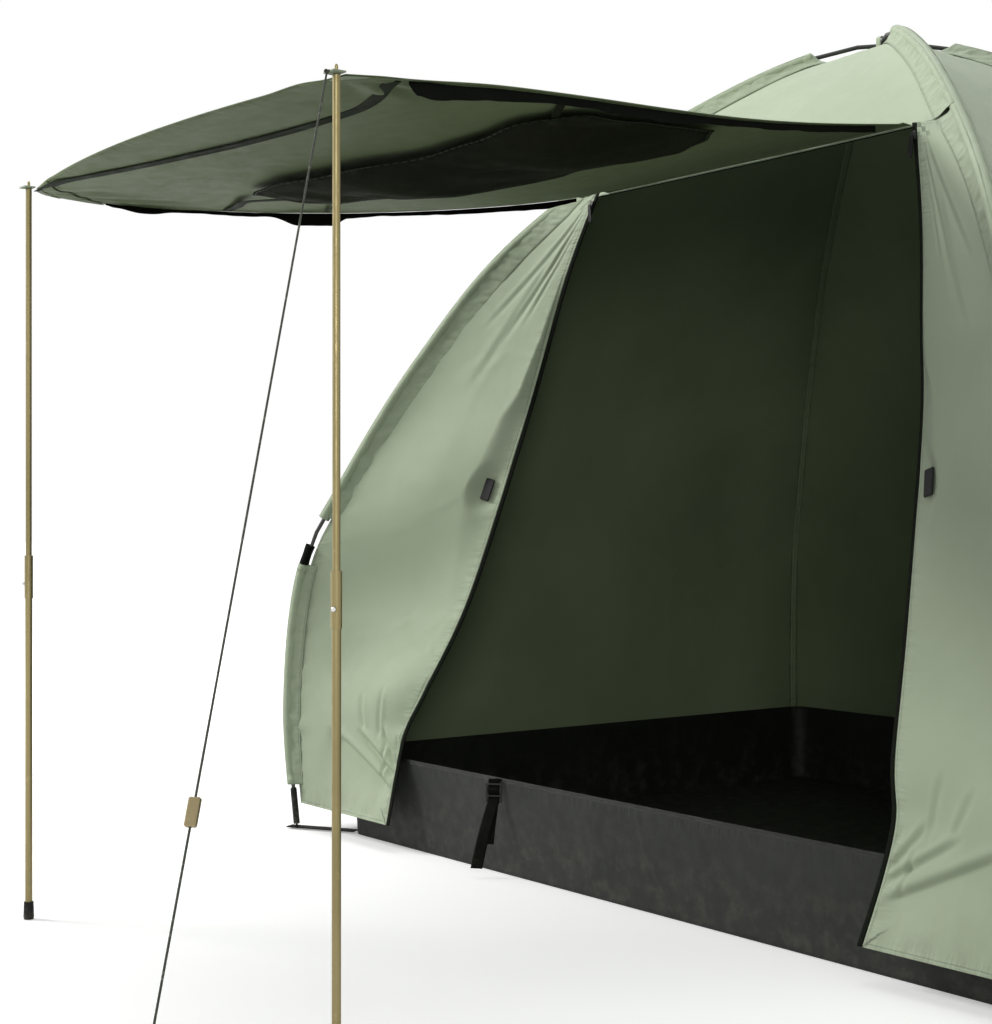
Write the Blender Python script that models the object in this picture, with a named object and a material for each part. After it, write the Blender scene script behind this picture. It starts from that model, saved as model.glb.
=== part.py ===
"""Two-person tent: two crossed arch poles in sleeves, a floor tub, and a door flap
propped up on two telescopic poles as an awning."""
import math

import bmesh
import bpy
from mathutils import Matrix, Vector

# Frame: metres, +Z up, the door faces -Y, origin under the middle of the floor

# Arch poles, from foot to apex as shares of the foot radius and the apex height
FOOT_HALF_WIDTH = 1.074
FOOT_HALF_DEPTH = 0.835
APEX_HEIGHT = 1.764
ARCH_SHARES = ((1.0, 0.0), (1.0155, 0.17), (0.9904, 0.345), (0.913, 0.462),
               (0.776, 0.622), (0.594, 0.780), (0.291, 0.933), (0.0, 1.0))
POLE_DIAMETER = 0.0095
POLE_SECTIONS = 5
FERRULE_DIAMETER = 0.0115
FERRULE_LENGTH = 0.060
TIP_DIAMETER = 0.0150
TIP_LENGTH = 0.085
TIP_SOCKET = 0.022
TIP_PIN_DIAMETER = 0.0048
TIP_PIN_LENGTH = 0.011
TIP_LIFT = 0.0004

# Sleeves on the skin
SLEEVE_DIAMETER = 0.026
SLEEVE_WALL = 0.0014
SLEEVE_BOTTOM = 0.105
SLEEVE_WINDOW = (0.625, 0.735)
SLEEVE_STEPS = 18
SLEEVE_END_RADIUS = 0.150
SLEEVE_FADE = 0.10
WINDOW_OUTWARD_SHARE = 0.40
WINDOW_RADIUS_SHARE = 0.66
APEX_WINDOW_DROP = 0.026

# Skin panels
CLOTH = 0.0020
HEM_HEIGHT = 0.060
PANEL_SAG_SHARE = 0.040
ROOF_SAG_SHARE = 0.015
SAG_AT_HEM_SHARE = 0.2
FULL_SAG_SHARE = 0.75
SAG_TURN_SHARE = 0.8
CROWN_RADIUS = 0.060
HEADER_HEIGHT = 1.468
HEADER_BAND_HEIGHT = 0.022
HEADER_BAND_INSET = 0.06
TIE_HALF_WIDTH = 0.0125
TIE_THICKNESS = 0.0012
TIE_DEPTH = 0.012
TIE_CORNER = 0.004

# Zip line: drop below the header, half width beyond the flap's root, distance in front of its hinge
ZIP_LINE = ((1.408, 0.244, 0.395), (1.298, 0.259, 0.360), (1.208, 0.262, 0.333), (1.118, 0.232, 0.300),
            (0.911, 0.184, 0.212), (0.568, 0.133, 0.112), (0.400, 0.101, 0.074), (0.198, 0.064, 0.032),
            (0.006, 0.010, -0.012))
ZIP_TAPE_WIDTH = 0.010
ZIP_TAPE_THICKNESS = 0.0030
WING_STEPS = 16
SLIDER_LENGTH = 0.018
SLIDER_WIDTH = 0.012
SLIDER_THICKNESS = 0.004
SLIDER_BELOW_HEADER = 0.030
SLIDER_GAP = 0.0030
SLIDER_RUN = 0.06
TOGGLE_HEIGHT = 0.800
TOGGLE_LENGTH = 0.050
TOGGLE_WIDTH = 0.026
TOGGLE_THICKNESS = 0.005
TOGGLE_ACROSS_SHARE = 0.90
TOGGLE_TURN_SHARE = 0.05
TOGGLE_STAND = 0.0032

# Door flap and the mesh door gathered under it; the leaf gives shares of the flap: across, rear edge, front edge
FLAP_HINGE_AHEAD = 0.020
FLAP_HINGE_BELOW = 0.008
FLAP_HINGE_GAP = 0.006
FLAP_REACH = 1.262
FLAP_DROP = 0.112
FLAP_BOW = 0.065
FLAP_ROOT_HALF = 0.436
FLAP_END_HALF = 0.541
FLAP_EDGE_CURVE = 0.030
FLAP_FAR_SAG = 0.050
FLAP_NEAR_WAVE = 0.0085
SAG_LEAN = 1.15
SAG_FULLNESS = 0.55
FLAP_MIDDLE_SAG = 0.022
BAND_DEPTH = 0.026
BAND_THICKNESS = 0.004
BAND_INSET = 0.008
BAND_RUN_SHARE = (0.05, 0.90)
BAND_RIPPLE = 0.002
BAND_RIPPLES = 4.5
MESH_LEAF_SHARES = ((-0.450, 0.610, 0.757), (-0.34, 0.580, 0.768), (-0.20, 0.525, 0.764), (0.0, 0.480, 0.740),
                    (0.20, 0.415, 0.706), (0.42, 0.385, 0.668), (0.60, 0.325, 0.660), (0.78, 0.325, 0.648),
                    (0.915, 0.350, 0.585))
MESH_BELOW = 0.012
MESH_SAG = 0.030
MESH_FOLDS = 3
MESH_FOLD_DEPTH = 0.006
MESH_CLOTH = 0.0015

# Awning poles
POLE_AHEAD = 0.015
CORNER_TAB_AHEAD = 0.007
UPPER_TUBE_DIAMETER = 0.0110
LOWER_TUBE_DIAMETER = 0.0130
LOWER_TUBE_WALL = 0.0006
LOWER_TUBE_TOP = 0.667
TUBE_CHAMFER = 0.001
TUBE_OVERLAP = 0.120
COLLAR_LENGTH = 0.076
COLLAR_WALL = 0.0009
COLLAR_LIP = 0.003
BUTTON_DIAMETER = 0.0070
BUTTON_PROUD = 0.0040
BUTTON_TRAVEL = 0.0015
BUTTON_BELOW_TOP = 0.049
BUTTON_TURN = 54
WINDOW_START_SHARE = 0.9
SPIGOT_DIAMETER = 0.0050
SPIGOT_LENGTH = 0.014
FOOT_CAP_WALL = 0.0018
FOOT_CAP_HEIGHT = 0.032
FOOT_CAP_FLOOR = 0.004
CORNER_TAB_WIDTH = 0.026
CORNER_TAB_THICKNESS = 0.0022
EYELET_RIM = 0.0030
EYELET_THICKNESS = 0.0038

# Floor tub and its corner tabs
TUB_HALF_WIDTH = 0.960
TUB_FRONT = 0.775
TUB_BACK = 0.735
TUB_WALL_HEIGHT = 0.200
TUB_CLOTH = 0.0020
TUB_CORNER_RADIUS = 0.040
FOOT_TAB_TAPER_SHARE = 0.3
TUB_TAPER = 0.012
TAB_WIDTH = 0.030
TAB_THICKNESS = 0.0022
TAB_HEIGHT = 0.0045
TAB_OVERHANG = 0.020

# Strap with a ladder-lock buckle on the tub's front wall
STRAP_SIDE = -0.352
STRAP_WIDTH = 0.025
STRAP_THICKNESS = 0.0014
STRAP_TAIL_END = 0.018
STRAP_LEAN = 0.030
STRAP_BOW = 0.010
STRAP_SWING = 0.022
STRAP_TURN = 38
BUCKLE_WIDTH = 0.035
BUCKLE_THICKNESS = 0.003
BUCKLE_BELOW_RIM = 0.010
BUCKLE_SLOTS = 3
BUCKLE_SLOT = 0.009
BUCKLE_BAR = 0.003

# Guy line from the near awning corner
GUY_DIAMETER = 0.0030
GUY_FORWARD = 0.520
GUY_ASIDE = 0.420
GUY_LIFT = 0.004
GUY_SAG = 0.004
GUY_POINTS = 40
GUY_LOOP_RADIUS = 0.012
RUNNER_HEIGHT = 0.420
RUNNER_LENGTH = 0.034
RUNNER_WIDTH = 0.014
RUNNER_THICKNESS = 0.008

# Fits
GAP = 0.0004
SLIDE_GAP = 0.00035
SEAM_GAP = 0.0030
TAPE_GAP = 0.0010
PIN_CLEARANCE = 0.0009

# Worked out
FOOT_RADIUS = math.hypot(FOOT_HALF_WIDTH, FOOT_HALF_DEPTH)
SEAM_DROP = SLEEVE_DIAMETER / 2 + GAP + CLOTH / 2
FRONT_LEFT, FRONT_RIGHT, BACK_LEFT, BACK_RIGHT = "front_left", "front_right", "back_left", "back_right"
LEG_SIGNS = {FRONT_LEFT: (-1, -1), FRONT_RIGHT: (1, -1), BACK_LEFT: (-1, 1), BACK_RIGHT: (1, 1)}
OVER_POLE_LEGS = (FRONT_RIGHT, BACK_LEFT)

SAGE = (0.50, 0.57, 0.42)
OLIVE = (0.10, 0.14, 0.07)
BLACK = (0.012, 0.014, 0.010)
BRONZE = (0.30, 0.24, 0.11)
STEEL = (0.62, 0.60, 0.55)


def clear_scene():
    for item in list(bpy.data.objects):
        bpy.data.objects.remove(item, do_unlink=True)


def paint(item, colour, roughness=0.6, metallic=0.0):
    material = bpy.data.materials.new(item.name + "_finish")
    material.use_nodes = True
    shader = material.node_tree.nodes["Principled BSDF"]
    shader.inputs["Base Color"].default_value = (*colour, 1.0)
    shader.inputs["Roughness"].default_value = roughness
    shader.inputs["Metallic"].default_value = metallic
    item.data.materials.append(material)
    return item


def place(name, data):
    item = bpy.data.objects.new(name, data)
    bpy.context.scene.collection.objects.link(item)
    return item


def mesh_object(name, build):
    shape = bmesh.new()
    build(shape)
    mesh = bpy.data.meshes.new(name)
    shape.to_mesh(mesh)
    shape.free()
    mesh.shade_smooth()
    mesh.set_sharp_from_angle(angle=math.radians(40))
    return place(name, mesh)


def lerp(a, b, t):
    return a + (b - a) * t


def smooth_step(t):
    t = min(max(t, 0.0), 1.0)
    return t * t * (3 - 2 * t)


def spline_through(points, steps):
    """Points on a smooth curve through the given ones (Catmull-Rom)."""
    padded = [points[0] * 2 - points[1], *points, points[-1] * 2 - points[-2]]
    path = []
    for k in range(1, len(padded) - 2):
        p0, p1, p2, p3 = padded[k - 1:k + 3]
        for step in range(steps):
            t = step / steps
            path.append(0.5 * (2 * p1 + (p2 - p0) * t + (2 * p0 - 5 * p1 + 4 * p2 - p3) * t ** 2
                               + (3 * p1 - 3 * p2 + p3 - p0) * t ** 3))
    path.append(points[-1])
    return path


class Arch:
    """One leg of an arch pole in its own upright plane, foot to apex."""

    def __init__(self, leg):
        sign_x, sign_y = LEG_SIGNS[leg]
        self.out = Vector((sign_x * FOOT_HALF_WIDTH, sign_y * FOOT_HALF_DEPTH, 0)).normalized()
        lift = POLE_DIAMETER + GAP if leg in OVER_POLE_LEGS else 0.0
        knots = [Vector((r * FOOT_RADIUS, z * (APEX_HEIGHT + lift), 0)) for r, z in ARCH_SHARES]
        mirrored = Vector((-knots[-2].x, knots[-2].y, 0))
        self.path = spline_through(knots + [mirrored], 24)[:24 * (len(knots) - 1) + 1]
        self.reach = [0.0]
        for a, b in zip(self.path, self.path[1:]):
            self.reach.append(self.reach[-1] + (b - a).length)
        self.length = self.reach[-1]

    def flat(self, distance):
        """Place and direction in the arch's plane, a distance along the pole."""
        distance = min(max(distance, 0.0), self.length)
        k = 1
        while k < len(self.reach) - 1 and self.reach[k] < distance:
            k += 1
        a, b = self.path[k - 1], self.path[k]
        t = (distance - self.reach[k - 1]) / (self.reach[k] - self.reach[k - 1])
        return a.lerp(b, t), (b - a).normalized()

    def at(self, distance, drop=0.0):
        """Point on the pole's centre line, or the given drop inside it."""
        spot, way = self.flat(distance)
        inward = Vector((-way.y, way.x, 0))
        spot = spot + inward * drop
        return self.out * spot.x + Vector((0, 0, spot.y))

    def seam(self, distance):
        spot, _ = self.flat(distance)
        opening = smooth_step((SLEEVE_END_RADIUS + SLEEVE_FADE / 2 - spot.x) / SLEEVE_FADE)
        return self.at(distance, lerp(SEAM_DROP, APEX_WINDOW_DROP, opening))

    def at_height(self, height):
        for k, spot in enumerate(self.path):
            if spot.y >= height:
                a, b = self.path[k - 1], spot
                t = (height - a.y) / (b.y - a.y)
                return lerp(self.reach[k - 1], self.reach[k], t)
        return self.length

    def at_radius(self, radius):
        for k in range(len(self.path) - 1, 0, -1):
            if self.path[k - 1].x >= radius:
                a, b = self.path[k - 1], self.path[k]
                return lerp(self.reach[k - 1], self.reach[k], (a.x - radius) / (a.x - b.x))
        return 0.0


ARCHES = {leg: Arch(leg) for leg in LEG_SIGNS}

# Places that follow from the arches: the flap's hinge under the header, then the awning poles
HEADER_CORNER = ARCHES[FRONT_LEFT].seam(ARCHES[FRONT_LEFT].at_height(HEADER_HEIGHT))
FLAP_HINGE = Vector((0, HEADER_CORNER.y - FLAP_HINGE_AHEAD, HEADER_HEIGHT - FLAP_HINGE_BELOW))
TAB_LEVEL = FLAP_HINGE.z - FLAP_DROP
POLE_TOP = TAB_LEVEL - EYELET_THICKNESS / 2 - GAP
POLE_FORWARD = FLAP_REACH + POLE_AHEAD - FLAP_HINGE.y
ZIP_TOP = HEADER_HEIGHT - ZIP_LINE[-1][0]
BUCKLE_TOP = TUB_WALL_HEIGHT - BUCKLE_BELOW_RIM


def tube(name, path, radii, resolution=2, caps=True):
    """A round bar along a path, as a bevelled curve."""
    curve = bpy.data.curves.new(name, "CURVE")
    curve.dimensions = "3D"
    curve.bevel_depth = 1.0
    curve.bevel_resolution = resolution
    curve.use_fill_caps = caps
    line = curve.splines.new("POLY")
    line.points.add(len(path) - 1)
    for knot, spot, radius in zip(line.points, path, radii):
        knot.co = (*spot, 1.0)
        knot.radius = radius
    line.use_smooth = True
    return place(name, curve)


def as_mesh(item):
    """The same piece as a mesh, which Boolean cuts need."""
    name = item.name
    shape = bmesh.new()
    shape.from_mesh(item.to_mesh())
    bmesh.ops.remove_doubles(shape, verts=shape.verts, dist=0.00001)
    mesh = bpy.data.meshes.new(name)
    shape.to_mesh(mesh)
    shape.free()
    item.to_mesh_clear()
    bpy.data.objects.remove(item, do_unlink=True)
    mesh.shade_smooth()
    return place(name, mesh)


def solidify(item, thickness, offset=0.0):
    wall = item.modifiers.new("wall", "SOLIDIFY")
    wall.thickness = thickness
    wall.offset = offset
    wall.use_even_offset = True
    return item


def sheet(name, surface, across, along, thickness=CLOTH):
    """A cloth panel: a grid laid on surface(u, v), given its thickness."""
    def build(shape):
        bmesh.ops.create_grid(shape, x_segments=across, y_segments=along, size=1.0)
        for vert in shape.verts:
            vert.co = surface((vert.co.x + 1) / 2, (vert.co.y + 1) / 2)
    return solidify(mesh_object(name, build), thickness)


def turned(name, outline, origin=Vector((0, 0, 0)), direction=Vector((0, 0, 1)), segments=16):
    """A solid of revolution from a closed outline of (radius, height)."""
    def build(shape):
        verts = [shape.verts.new((r, 0, z)) for r, z in outline]
        edges = [shape.edges.new(pair) for pair in zip(verts, verts[1:] + verts[:1])]
        bmesh.ops.spin(shape, geom=verts + edges, cent=(0, 0, 0), axis=(0, 0, 1),
                       angle=2 * math.pi, steps=segments, use_merge=True)
        bmesh.ops.remove_doubles(shape, verts=shape.verts, dist=0.00001)
        bmesh.ops.dissolve_degenerate(shape, edges=shape.edges, dist=0.00001)
        loose = [edge for edge in shape.edges if not edge.link_faces]
        bmesh.ops.delete(shape, geom=loose, context="EDGES")
        bmesh.ops.recalc_face_normals(shape, faces=shape.faces)
    item = mesh_object(name, build)
    turn = Vector((0, 0, 1)).rotation_difference(direction).to_matrix().to_4x4()
    item.data.transform(Matrix.Translation(origin) @ turn)
    return item


def block(name, size, place_matrix, bevel=0.0):
    """A box with softened edges, in the frame of place_matrix."""
    def build(shape):
        bmesh.ops.create_cube(shape, size=1.0)
        bmesh.ops.scale(shape, vec=size, verts=shape.verts)
        if bevel:
            bmesh.ops.bevel(shape, geom=shape.edges, offset=bevel, offset_type="OFFSET",
                            segments=1, profile=0.5, affect="EDGES", material=-1)
        bmesh.ops.transform(shape, matrix=place_matrix, verts=shape.verts)
    return mesh_object(name, build)


def combine(item, tool, operation="DIFFERENCE"):
    """Cut the tool shape out of a piece, or weld it on."""
    tool.hide_render = True
    tool.display_type = "WIRE"
    step = item.modifiers.new(tool.name, "BOOLEAN")
    step.operation = operation
    step.object = tool
    return item


def eyelet(item, spot, bore, thickness):
    """Raised round rim and its hole, in a tab that lies flat."""
    rim = bore + EYELET_RIM
    half = thickness / 2
    name = item.name
    combine(item, turned(f"{name}_rim", ((0, -half), (rim, -half), (rim, half), (0, half)), spot, segments=12),
            "UNION")
    return combine(item, turned(f"{name}_hole", ((0, -0.01), (bore, -0.01), (bore, 0.01), (0, 0.01)), spot,
                                segments=12))


def move_origin(item, spot):
    """Put a moving piece's origin on its joint, with its shape left in place."""
    item.data.transform(Matrix.Translation(-Vector(spot)))
    item.location = spot
    return item


def arch_poles():
    """Each arch pole in sections that plug together end to end."""
    for pole, (first, last) in (("under", (FRONT_LEFT, BACK_RIGHT)), ("over", (FRONT_RIGHT, BACK_LEFT))):
        near, far = ARCHES[first], ARCHES[last]
        start = TIP_PIN_LENGTH + TIP_LENGTH - TIP_SOCKET + TIP_LIFT + GAP
        span = near.length + far.length - 2 * start
        section = span / POLE_SECTIONS
        for k in range(POLE_SECTIONS):
            low = start + k * section + (GAP / 2 if k else 0)
            high = start + (k + 1) * section - (GAP / 2 if k < POLE_SECTIONS - 1 else 0)
            steps = 9
            stops = [lerp(low, high, step / steps) for step in range(steps + 1)]
            radii = [POLE_DIAMETER / 2] * len(stops)
            if k < POLE_SECTIONS - 1:
                stops[-1:] = [high - FERRULE_LENGTH - 0.001, high - FERRULE_LENGTH, high]
                radii[-1:] = [POLE_DIAMETER / 2, FERRULE_DIAMETER / 2, FERRULE_DIAMETER / 2]
            path = [near.at(d) if d <= near.length else far.at(near.length + far.length - d) for d in stops]
            paint(tube(f"{pole}_pole_section_{k + 1}", path, radii), BRONZE, 0.35, 0.8)


def pole_tips():
    """End caps of the arch poles, each with a socket for the pole and a ground pin."""
    outer, socket, pin = TIP_DIAMETER / 2, POLE_DIAMETER / 2 + GAP, TIP_PIN_DIAMETER / 2
    for leg, arch in ARCHES.items():
        top = TIP_PIN_LENGTH + TIP_LENGTH
        up = (arch.at(top) - arch.at(top - TIP_SOCKET)).normalized()
        base = arch.at(top - TIP_SOCKET / 2) - up * (top - TIP_SOCKET / 2 - TIP_LIFT)
        outline = ((0, 0), (pin, 0), (pin, TIP_PIN_LENGTH), (outer, TIP_PIN_LENGTH), (outer, top - 0.004),
                   (outer - 0.0012, top), (socket, top), (socket, top - TIP_SOCKET), (0, top - TIP_SOCKET))
        paint(turned(f"pole_tip_{leg}", outline, base, up, segments=12), BLACK, 0.5)


def sleeves():
    """Sleeve along each leg, open over the pole between its lower and upper runs."""
    mid_wall = (SLEEVE_DIAMETER - SLEEVE_WALL) / 2
    for leg, arch in ARCHES.items():
        low, high = arch.at_height(SLEEVE_BOTTOM), arch.at_radius(SLEEVE_END_RADIUS)
        stops = [lerp(low, high, step / SLEEVE_STEPS) for step in range(SLEEVE_STEPS + 1)]
        item = tube(f"pole_sleeve_{leg}", [arch.at(d) for d in stops], [mid_wall] * len(stops), caps=False)
        item = paint(solidify(as_mesh(item), SLEEVE_WALL), SAGE, 0.75)
        low, high = (arch.at_height(z) for z in SLEEVE_WINDOW)
        stops = [lerp(low, high, step / 4) for step in range(5)]
        window = tube(f"sleeve_window_{leg}", [arch.at(d, -SLEEVE_DIAMETER * WINDOW_OUTWARD_SHARE) for d in stops],
                      [SLEEVE_DIAMETER * WINDOW_RADIUS_SHARE] * len(stops))
        combine(item, as_mesh(window))


def between_legs(first, second, bottom_height, sag):
    """Surface stretched between two legs, hem to crown, drawn in by its own tension."""
    a, b = ARCHES[first], ARCHES[second]
    lows = (a.at_height(bottom_height), b.at_height(bottom_height))
    tops = (a.at_radius(CROWN_RADIUS), b.at_radius(CROWN_RADIUS))
    inward = -(a.out + b.out).normalized()

    def surface(u, v):
        left = a.seam(lerp(lows[0], tops[0], v))
        right = b.seam(lerp(lows[1], tops[1], v))
        chord = (right - left).length
        edge = SEAM_GAP / chord
        across = lerp(edge, 1 - edge, u)
        rise = SAG_AT_HEM_SHARE + (1 - SAG_AT_HEM_SHARE) * min(v / FULL_SAG_SHARE, 1)
        hollow = sag * chord * 4 * across * (1 - across) * math.sin(math.pi * rise * SAG_TURN_SHARE)
        return left.lerp(right, across) + inward * hollow
    return surface


def skin_panels():
    paint(sheet("side_panel_left", between_legs(BACK_LEFT, FRONT_LEFT, HEM_HEIGHT, PANEL_SAG_SHARE), 8, 14),
          SAGE, 0.75)
    paint(sheet("side_panel_right", between_legs(FRONT_RIGHT, BACK_RIGHT, HEM_HEIGHT, PANEL_SAG_SHARE), 8, 14),
          SAGE, 0.75)
    paint(sheet("back_panel", between_legs(BACK_RIGHT, BACK_LEFT, HEM_HEIGHT, PANEL_SAG_SHARE), 8, 14), SAGE, 0.75)
    paint(sheet("front_roof_panel", between_legs(FRONT_LEFT, FRONT_RIGHT, HEADER_HEIGHT, ROOF_SAG_SHARE), 10, 7),
          SAGE, 0.75)


def crown_patch():
    """Square of cloth under the crossing, where the four panels end."""
    corners = [ARCHES[leg].seam(ARCHES[leg].at_radius(CROWN_RADIUS)) for leg in
               (FRONT_LEFT, FRONT_RIGHT, BACK_LEFT, BACK_RIGHT)]
    middle = sum(corners, Vector()) / 4
    shrink = 1 - SEAM_GAP / FOOT_HALF_DEPTH * FOOT_RADIUS / CROWN_RADIUS

    def surface(u, v):
        spot = corners[0].lerp(corners[1], u).lerp(corners[2].lerp(corners[3], u), v)
        return middle + (spot - middle) * shrink
    paint(sheet("crown_patch", surface, 2, 2), SAGE, 0.75)
    return middle.z


def crossing_tie(patch_height):
    """Strap loop that holds both poles down to the crown."""
    top = APEX_HEIGHT + POLE_DIAMETER * 1.5 + 3 * GAP
    bottom = patch_height + CLOTH / 2 + GAP + TIE_THICKNESS

    def build(shape):
        loop = []
        for grow in (0.0, TIE_THICKNESS):
            half, low, high = TIE_HALF_WIDTH + grow, bottom - grow, top + grow
            outline = ((-half, low), (half, low), (half, high - TIE_CORNER), (half - TIE_CORNER, high),
                       (TIE_CORNER - half, high), (-half, high - TIE_CORNER))
            verts = [shape.verts.new((-TIE_DEPTH / 2, y, z)) for y, z in outline]
            loop.append([shape.edges.new(pair) for pair in zip(verts, verts[1:] + verts[:1])])
        bmesh.ops.bridge_loops(shape, edges=loop[0] + loop[1])
        grown = bmesh.ops.extrude_face_region(shape, geom=list(shape.faces))
        verts = [part for part in grown["geom"] if isinstance(part, bmesh.types.BMVert)]
        bmesh.ops.translate(shape, verts=verts, vec=(TIE_DEPTH, 0, 0))
        bmesh.ops.recalc_face_normals(shape, faces=shape.faces)
    paint(mesh_object("crossing_tie", build), SAGE, 0.8)


def zip_point(height, side):
    knots = [Vector((side * (FLAP_ROOT_HALF + half), FLAP_HINGE.y - ahead, HEADER_HEIGHT - drop))
             for drop, half, ahead in ZIP_LINE]
    path = spline_through(knots, 12)
    for a, b in zip(path, path[1:]):
        if a.z <= height <= b.z:
            return a.lerp(b, (height - a.z) / (b.z - a.z))
    return path[-1] if height > path[-1].z else path[0]


def wing_surface(leg, side, edge_gap):
    """Front wall beside the door, from the arch seam to the zip."""
    arch = ARCHES[leg]

    def surface(u, v):
        height = lerp(HEM_HEIGHT, ZIP_TOP, v)
        outer = arch.seam(arch.at_height(height))
        inner = zip_point(height, side)
        chord = (inner - outer).length
        spot = outer.lerp(inner, lerp(SEAM_GAP / chord, 1 - edge_gap / chord, u))
        hollow = PANEL_SAG_SHARE * chord * math.sin(math.pi * u) * math.sin(math.pi * v)
        return spot + Vector((0, hollow, 0))
    return surface


def wings():
    for word, leg, side in (("left", FRONT_LEFT, -1), ("right", FRONT_RIGHT, 1)):
        surface = wing_surface(leg, side, ZIP_TAPE_WIDTH + TAPE_GAP)
        if side > 0:
            plain = surface

            def surface(u, v, plain=plain):
                return plain(1 - u, v)
        paint(sheet(f"wing_{word}", surface, 6, WING_STEPS), SAGE, 0.75)


def zip_parts():
    """Zip tape on each wing's edge, and its slider."""
    for word, leg, side in (("left", FRONT_LEFT, -1), ("right", FRONT_RIGHT, 1)):
        wide = wing_surface(leg, side, 0.0)
        near = wing_surface(leg, side, ZIP_TAPE_WIDTH)

        def tape(u, v, wide=wide, near=near):
            return near(1, v).lerp(wide(1, v), u)
        paint(sheet(f"zip_tape_{word}", tape, 1, WING_STEPS, ZIP_TAPE_THICKNESS), BLACK, 0.6)
        height = ZIP_TOP - SLIDER_BELOW_HEADER
        low, high = zip_point(height - SLIDER_RUN, side), zip_point(height, side)
        up = (high - low).normalized()
        across = Vector((side, 0, 0))
        across = (across - up * across.dot(up)).normalized()
        out = across.cross(up) * side
        stand = ZIP_TAPE_THICKNESS / 2 + SLIDER_GAP + SLIDER_THICKNESS / 2
        centre = high + out * stand + across * (ZIP_TAPE_WIDTH / 2)
        frame = Matrix((up.cross(out), up, out)).transposed().to_4x4()
        item = block(f"zip_slider_{word}", (SLIDER_WIDTH, SLIDER_LENGTH, SLIDER_THICKNESS),
                     Matrix.Translation(centre) @ frame, 0.001)
        paint(move_origin(item, centre), STEEL, 0.4, 0.8)


def wing_toggles():
    """Tabs near each zip that hold a rolled door."""
    for word, leg, side in (("left", FRONT_LEFT, -1), ("right", FRONT_RIGHT, 1)):
        surface = wing_surface(leg, side, ZIP_TAPE_WIDTH + TAPE_GAP)
        share = (TOGGLE_HEIGHT - HEM_HEIGHT) / (ZIP_TOP - HEM_HEIGHT)
        beside, turn = TOGGLE_ACROSS_SHARE, TOGGLE_TURN_SHARE
        spot = surface(beside, share)
        across = (surface(beside + turn, share) - surface(beside - turn, share)).normalized()
        up = (surface(beside, share + turn) - surface(beside, share - turn)).normalized()
        out = across.cross(up)
        if out.y > 0:
            out = -out
        across = up.cross(out)
        frame = Matrix((across, up, out)).transposed().to_4x4()
        centre = spot + out * (CLOTH / 2 + TOGGLE_THICKNESS / 2 + TOGGLE_STAND)
        item = block(f"door_toggle_{word}", (TOGGLE_WIDTH, TOGGLE_LENGTH, TOGGLE_THICKNESS),
                     Matrix.Translation(centre) @ frame, 0.002)
        paint(item, BLACK, 0.6)


def header_band():
    """Doubled hem along the roof's lower front edge, inside the skin."""
    roof = between_legs(FRONT_LEFT, FRONT_RIGHT, HEADER_HEIGHT, ROOF_SAG_SHARE)
    slope = (roof(0.5, 0.1) - roof(0.5, 0.0)).normalized()
    inward = slope.cross(Vector((1, 0, 0)))

    def surface(u, v):
        across = lerp(HEADER_BAND_INSET, 1 - HEADER_BAND_INSET, u)
        return roof(across, 0.0) + slope * lerp(GAP, HEADER_BAND_HEIGHT, v) + inward * (CLOTH + 2 * GAP)
    paint(sheet("header_band", surface, 10, 1), BLACK, 0.7)


def flap_point(u, v, below=0.0):
    """Spot on the door flap: u from -1 to 1 across, v from hinge to outer edge."""
    slope = FLAP_DROP / FLAP_REACH
    out = FLAP_HINGE_GAP + v * (FLAP_REACH - FLAP_HINGE_GAP) + FLAP_BOW * (1 - u * u) * v * v
    half = lerp(FLAP_ROOT_HALF, FLAP_END_HALF, v) - FLAP_EDGE_CURVE * math.sin(math.pi * v)
    far = FLAP_FAR_SAG * max(math.sin(math.pi * v ** SAG_LEAN), 0) ** SAG_FULLNESS
    near = FLAP_NEAR_WAVE * math.sin(2 * math.pi * v)
    sag = lerp(far, near, (u + 1) / 2) + FLAP_MIDDLE_SAG * (1 - u * u) * math.sin(math.pi * v)
    return FLAP_HINGE + Vector((u * half, -out, -out * slope - sag - below))


def door_flap():
    def surface(u, v):
        return flap_point(2 * u - 1, v)
    paint(move_origin(sheet("door_flap", surface, 14, 14), FLAP_HINGE), OLIVE, 0.75)


def flap_bands():
    """Zip covers that hang along the two side edges of the flap."""
    for word, side in (("left", -1), ("right", 1)):
        def surface(u, v, side=side):
            inset = BAND_INSET + BAND_RIPPLE * math.sin(2 * math.pi * BAND_RIPPLES * v)
            spot = flap_point(side * (1 - inset / FLAP_ROOT_HALF), lerp(*BAND_RUN_SHARE, v), CLOTH / 2 + 4 * GAP)
            return spot - Vector((0, 0, BAND_DEPTH * u))
        item = sheet(f"flap_zip_cover_{word}", surface, 1, 18, BAND_THICKNESS)
        paint(move_origin(item, FLAP_HINGE), BLACK, 0.7)


def mesh_door():
    """Inner mesh door, gathered to a slack leaf and hung under the flap."""
    leaf = spline_through([Vector(share) for share in MESH_LEAF_SHARES], 6)

    def surface(u, v):
        place_in_leaf = u * (len(leaf) - 1)
        k = min(int(place_in_leaf), len(leaf) - 2)
        across, rear, front = leaf[k].lerp(leaf[k + 1], place_in_leaf - k)
        bag = MESH_SAG * math.sin(math.pi * v) * math.sin(math.pi * u)
        fold = MESH_FOLD_DEPTH * math.sin(2 * math.pi * MESH_FOLDS * u) * math.sin(math.pi * v)
        return flap_point(across, lerp(rear, front, v), MESH_BELOW + max(bag + fold, 0))
    paint(move_origin(sheet("mesh_door", surface, 30, 8, MESH_CLOTH), FLAP_HINGE), BLACK, 0.8)


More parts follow.
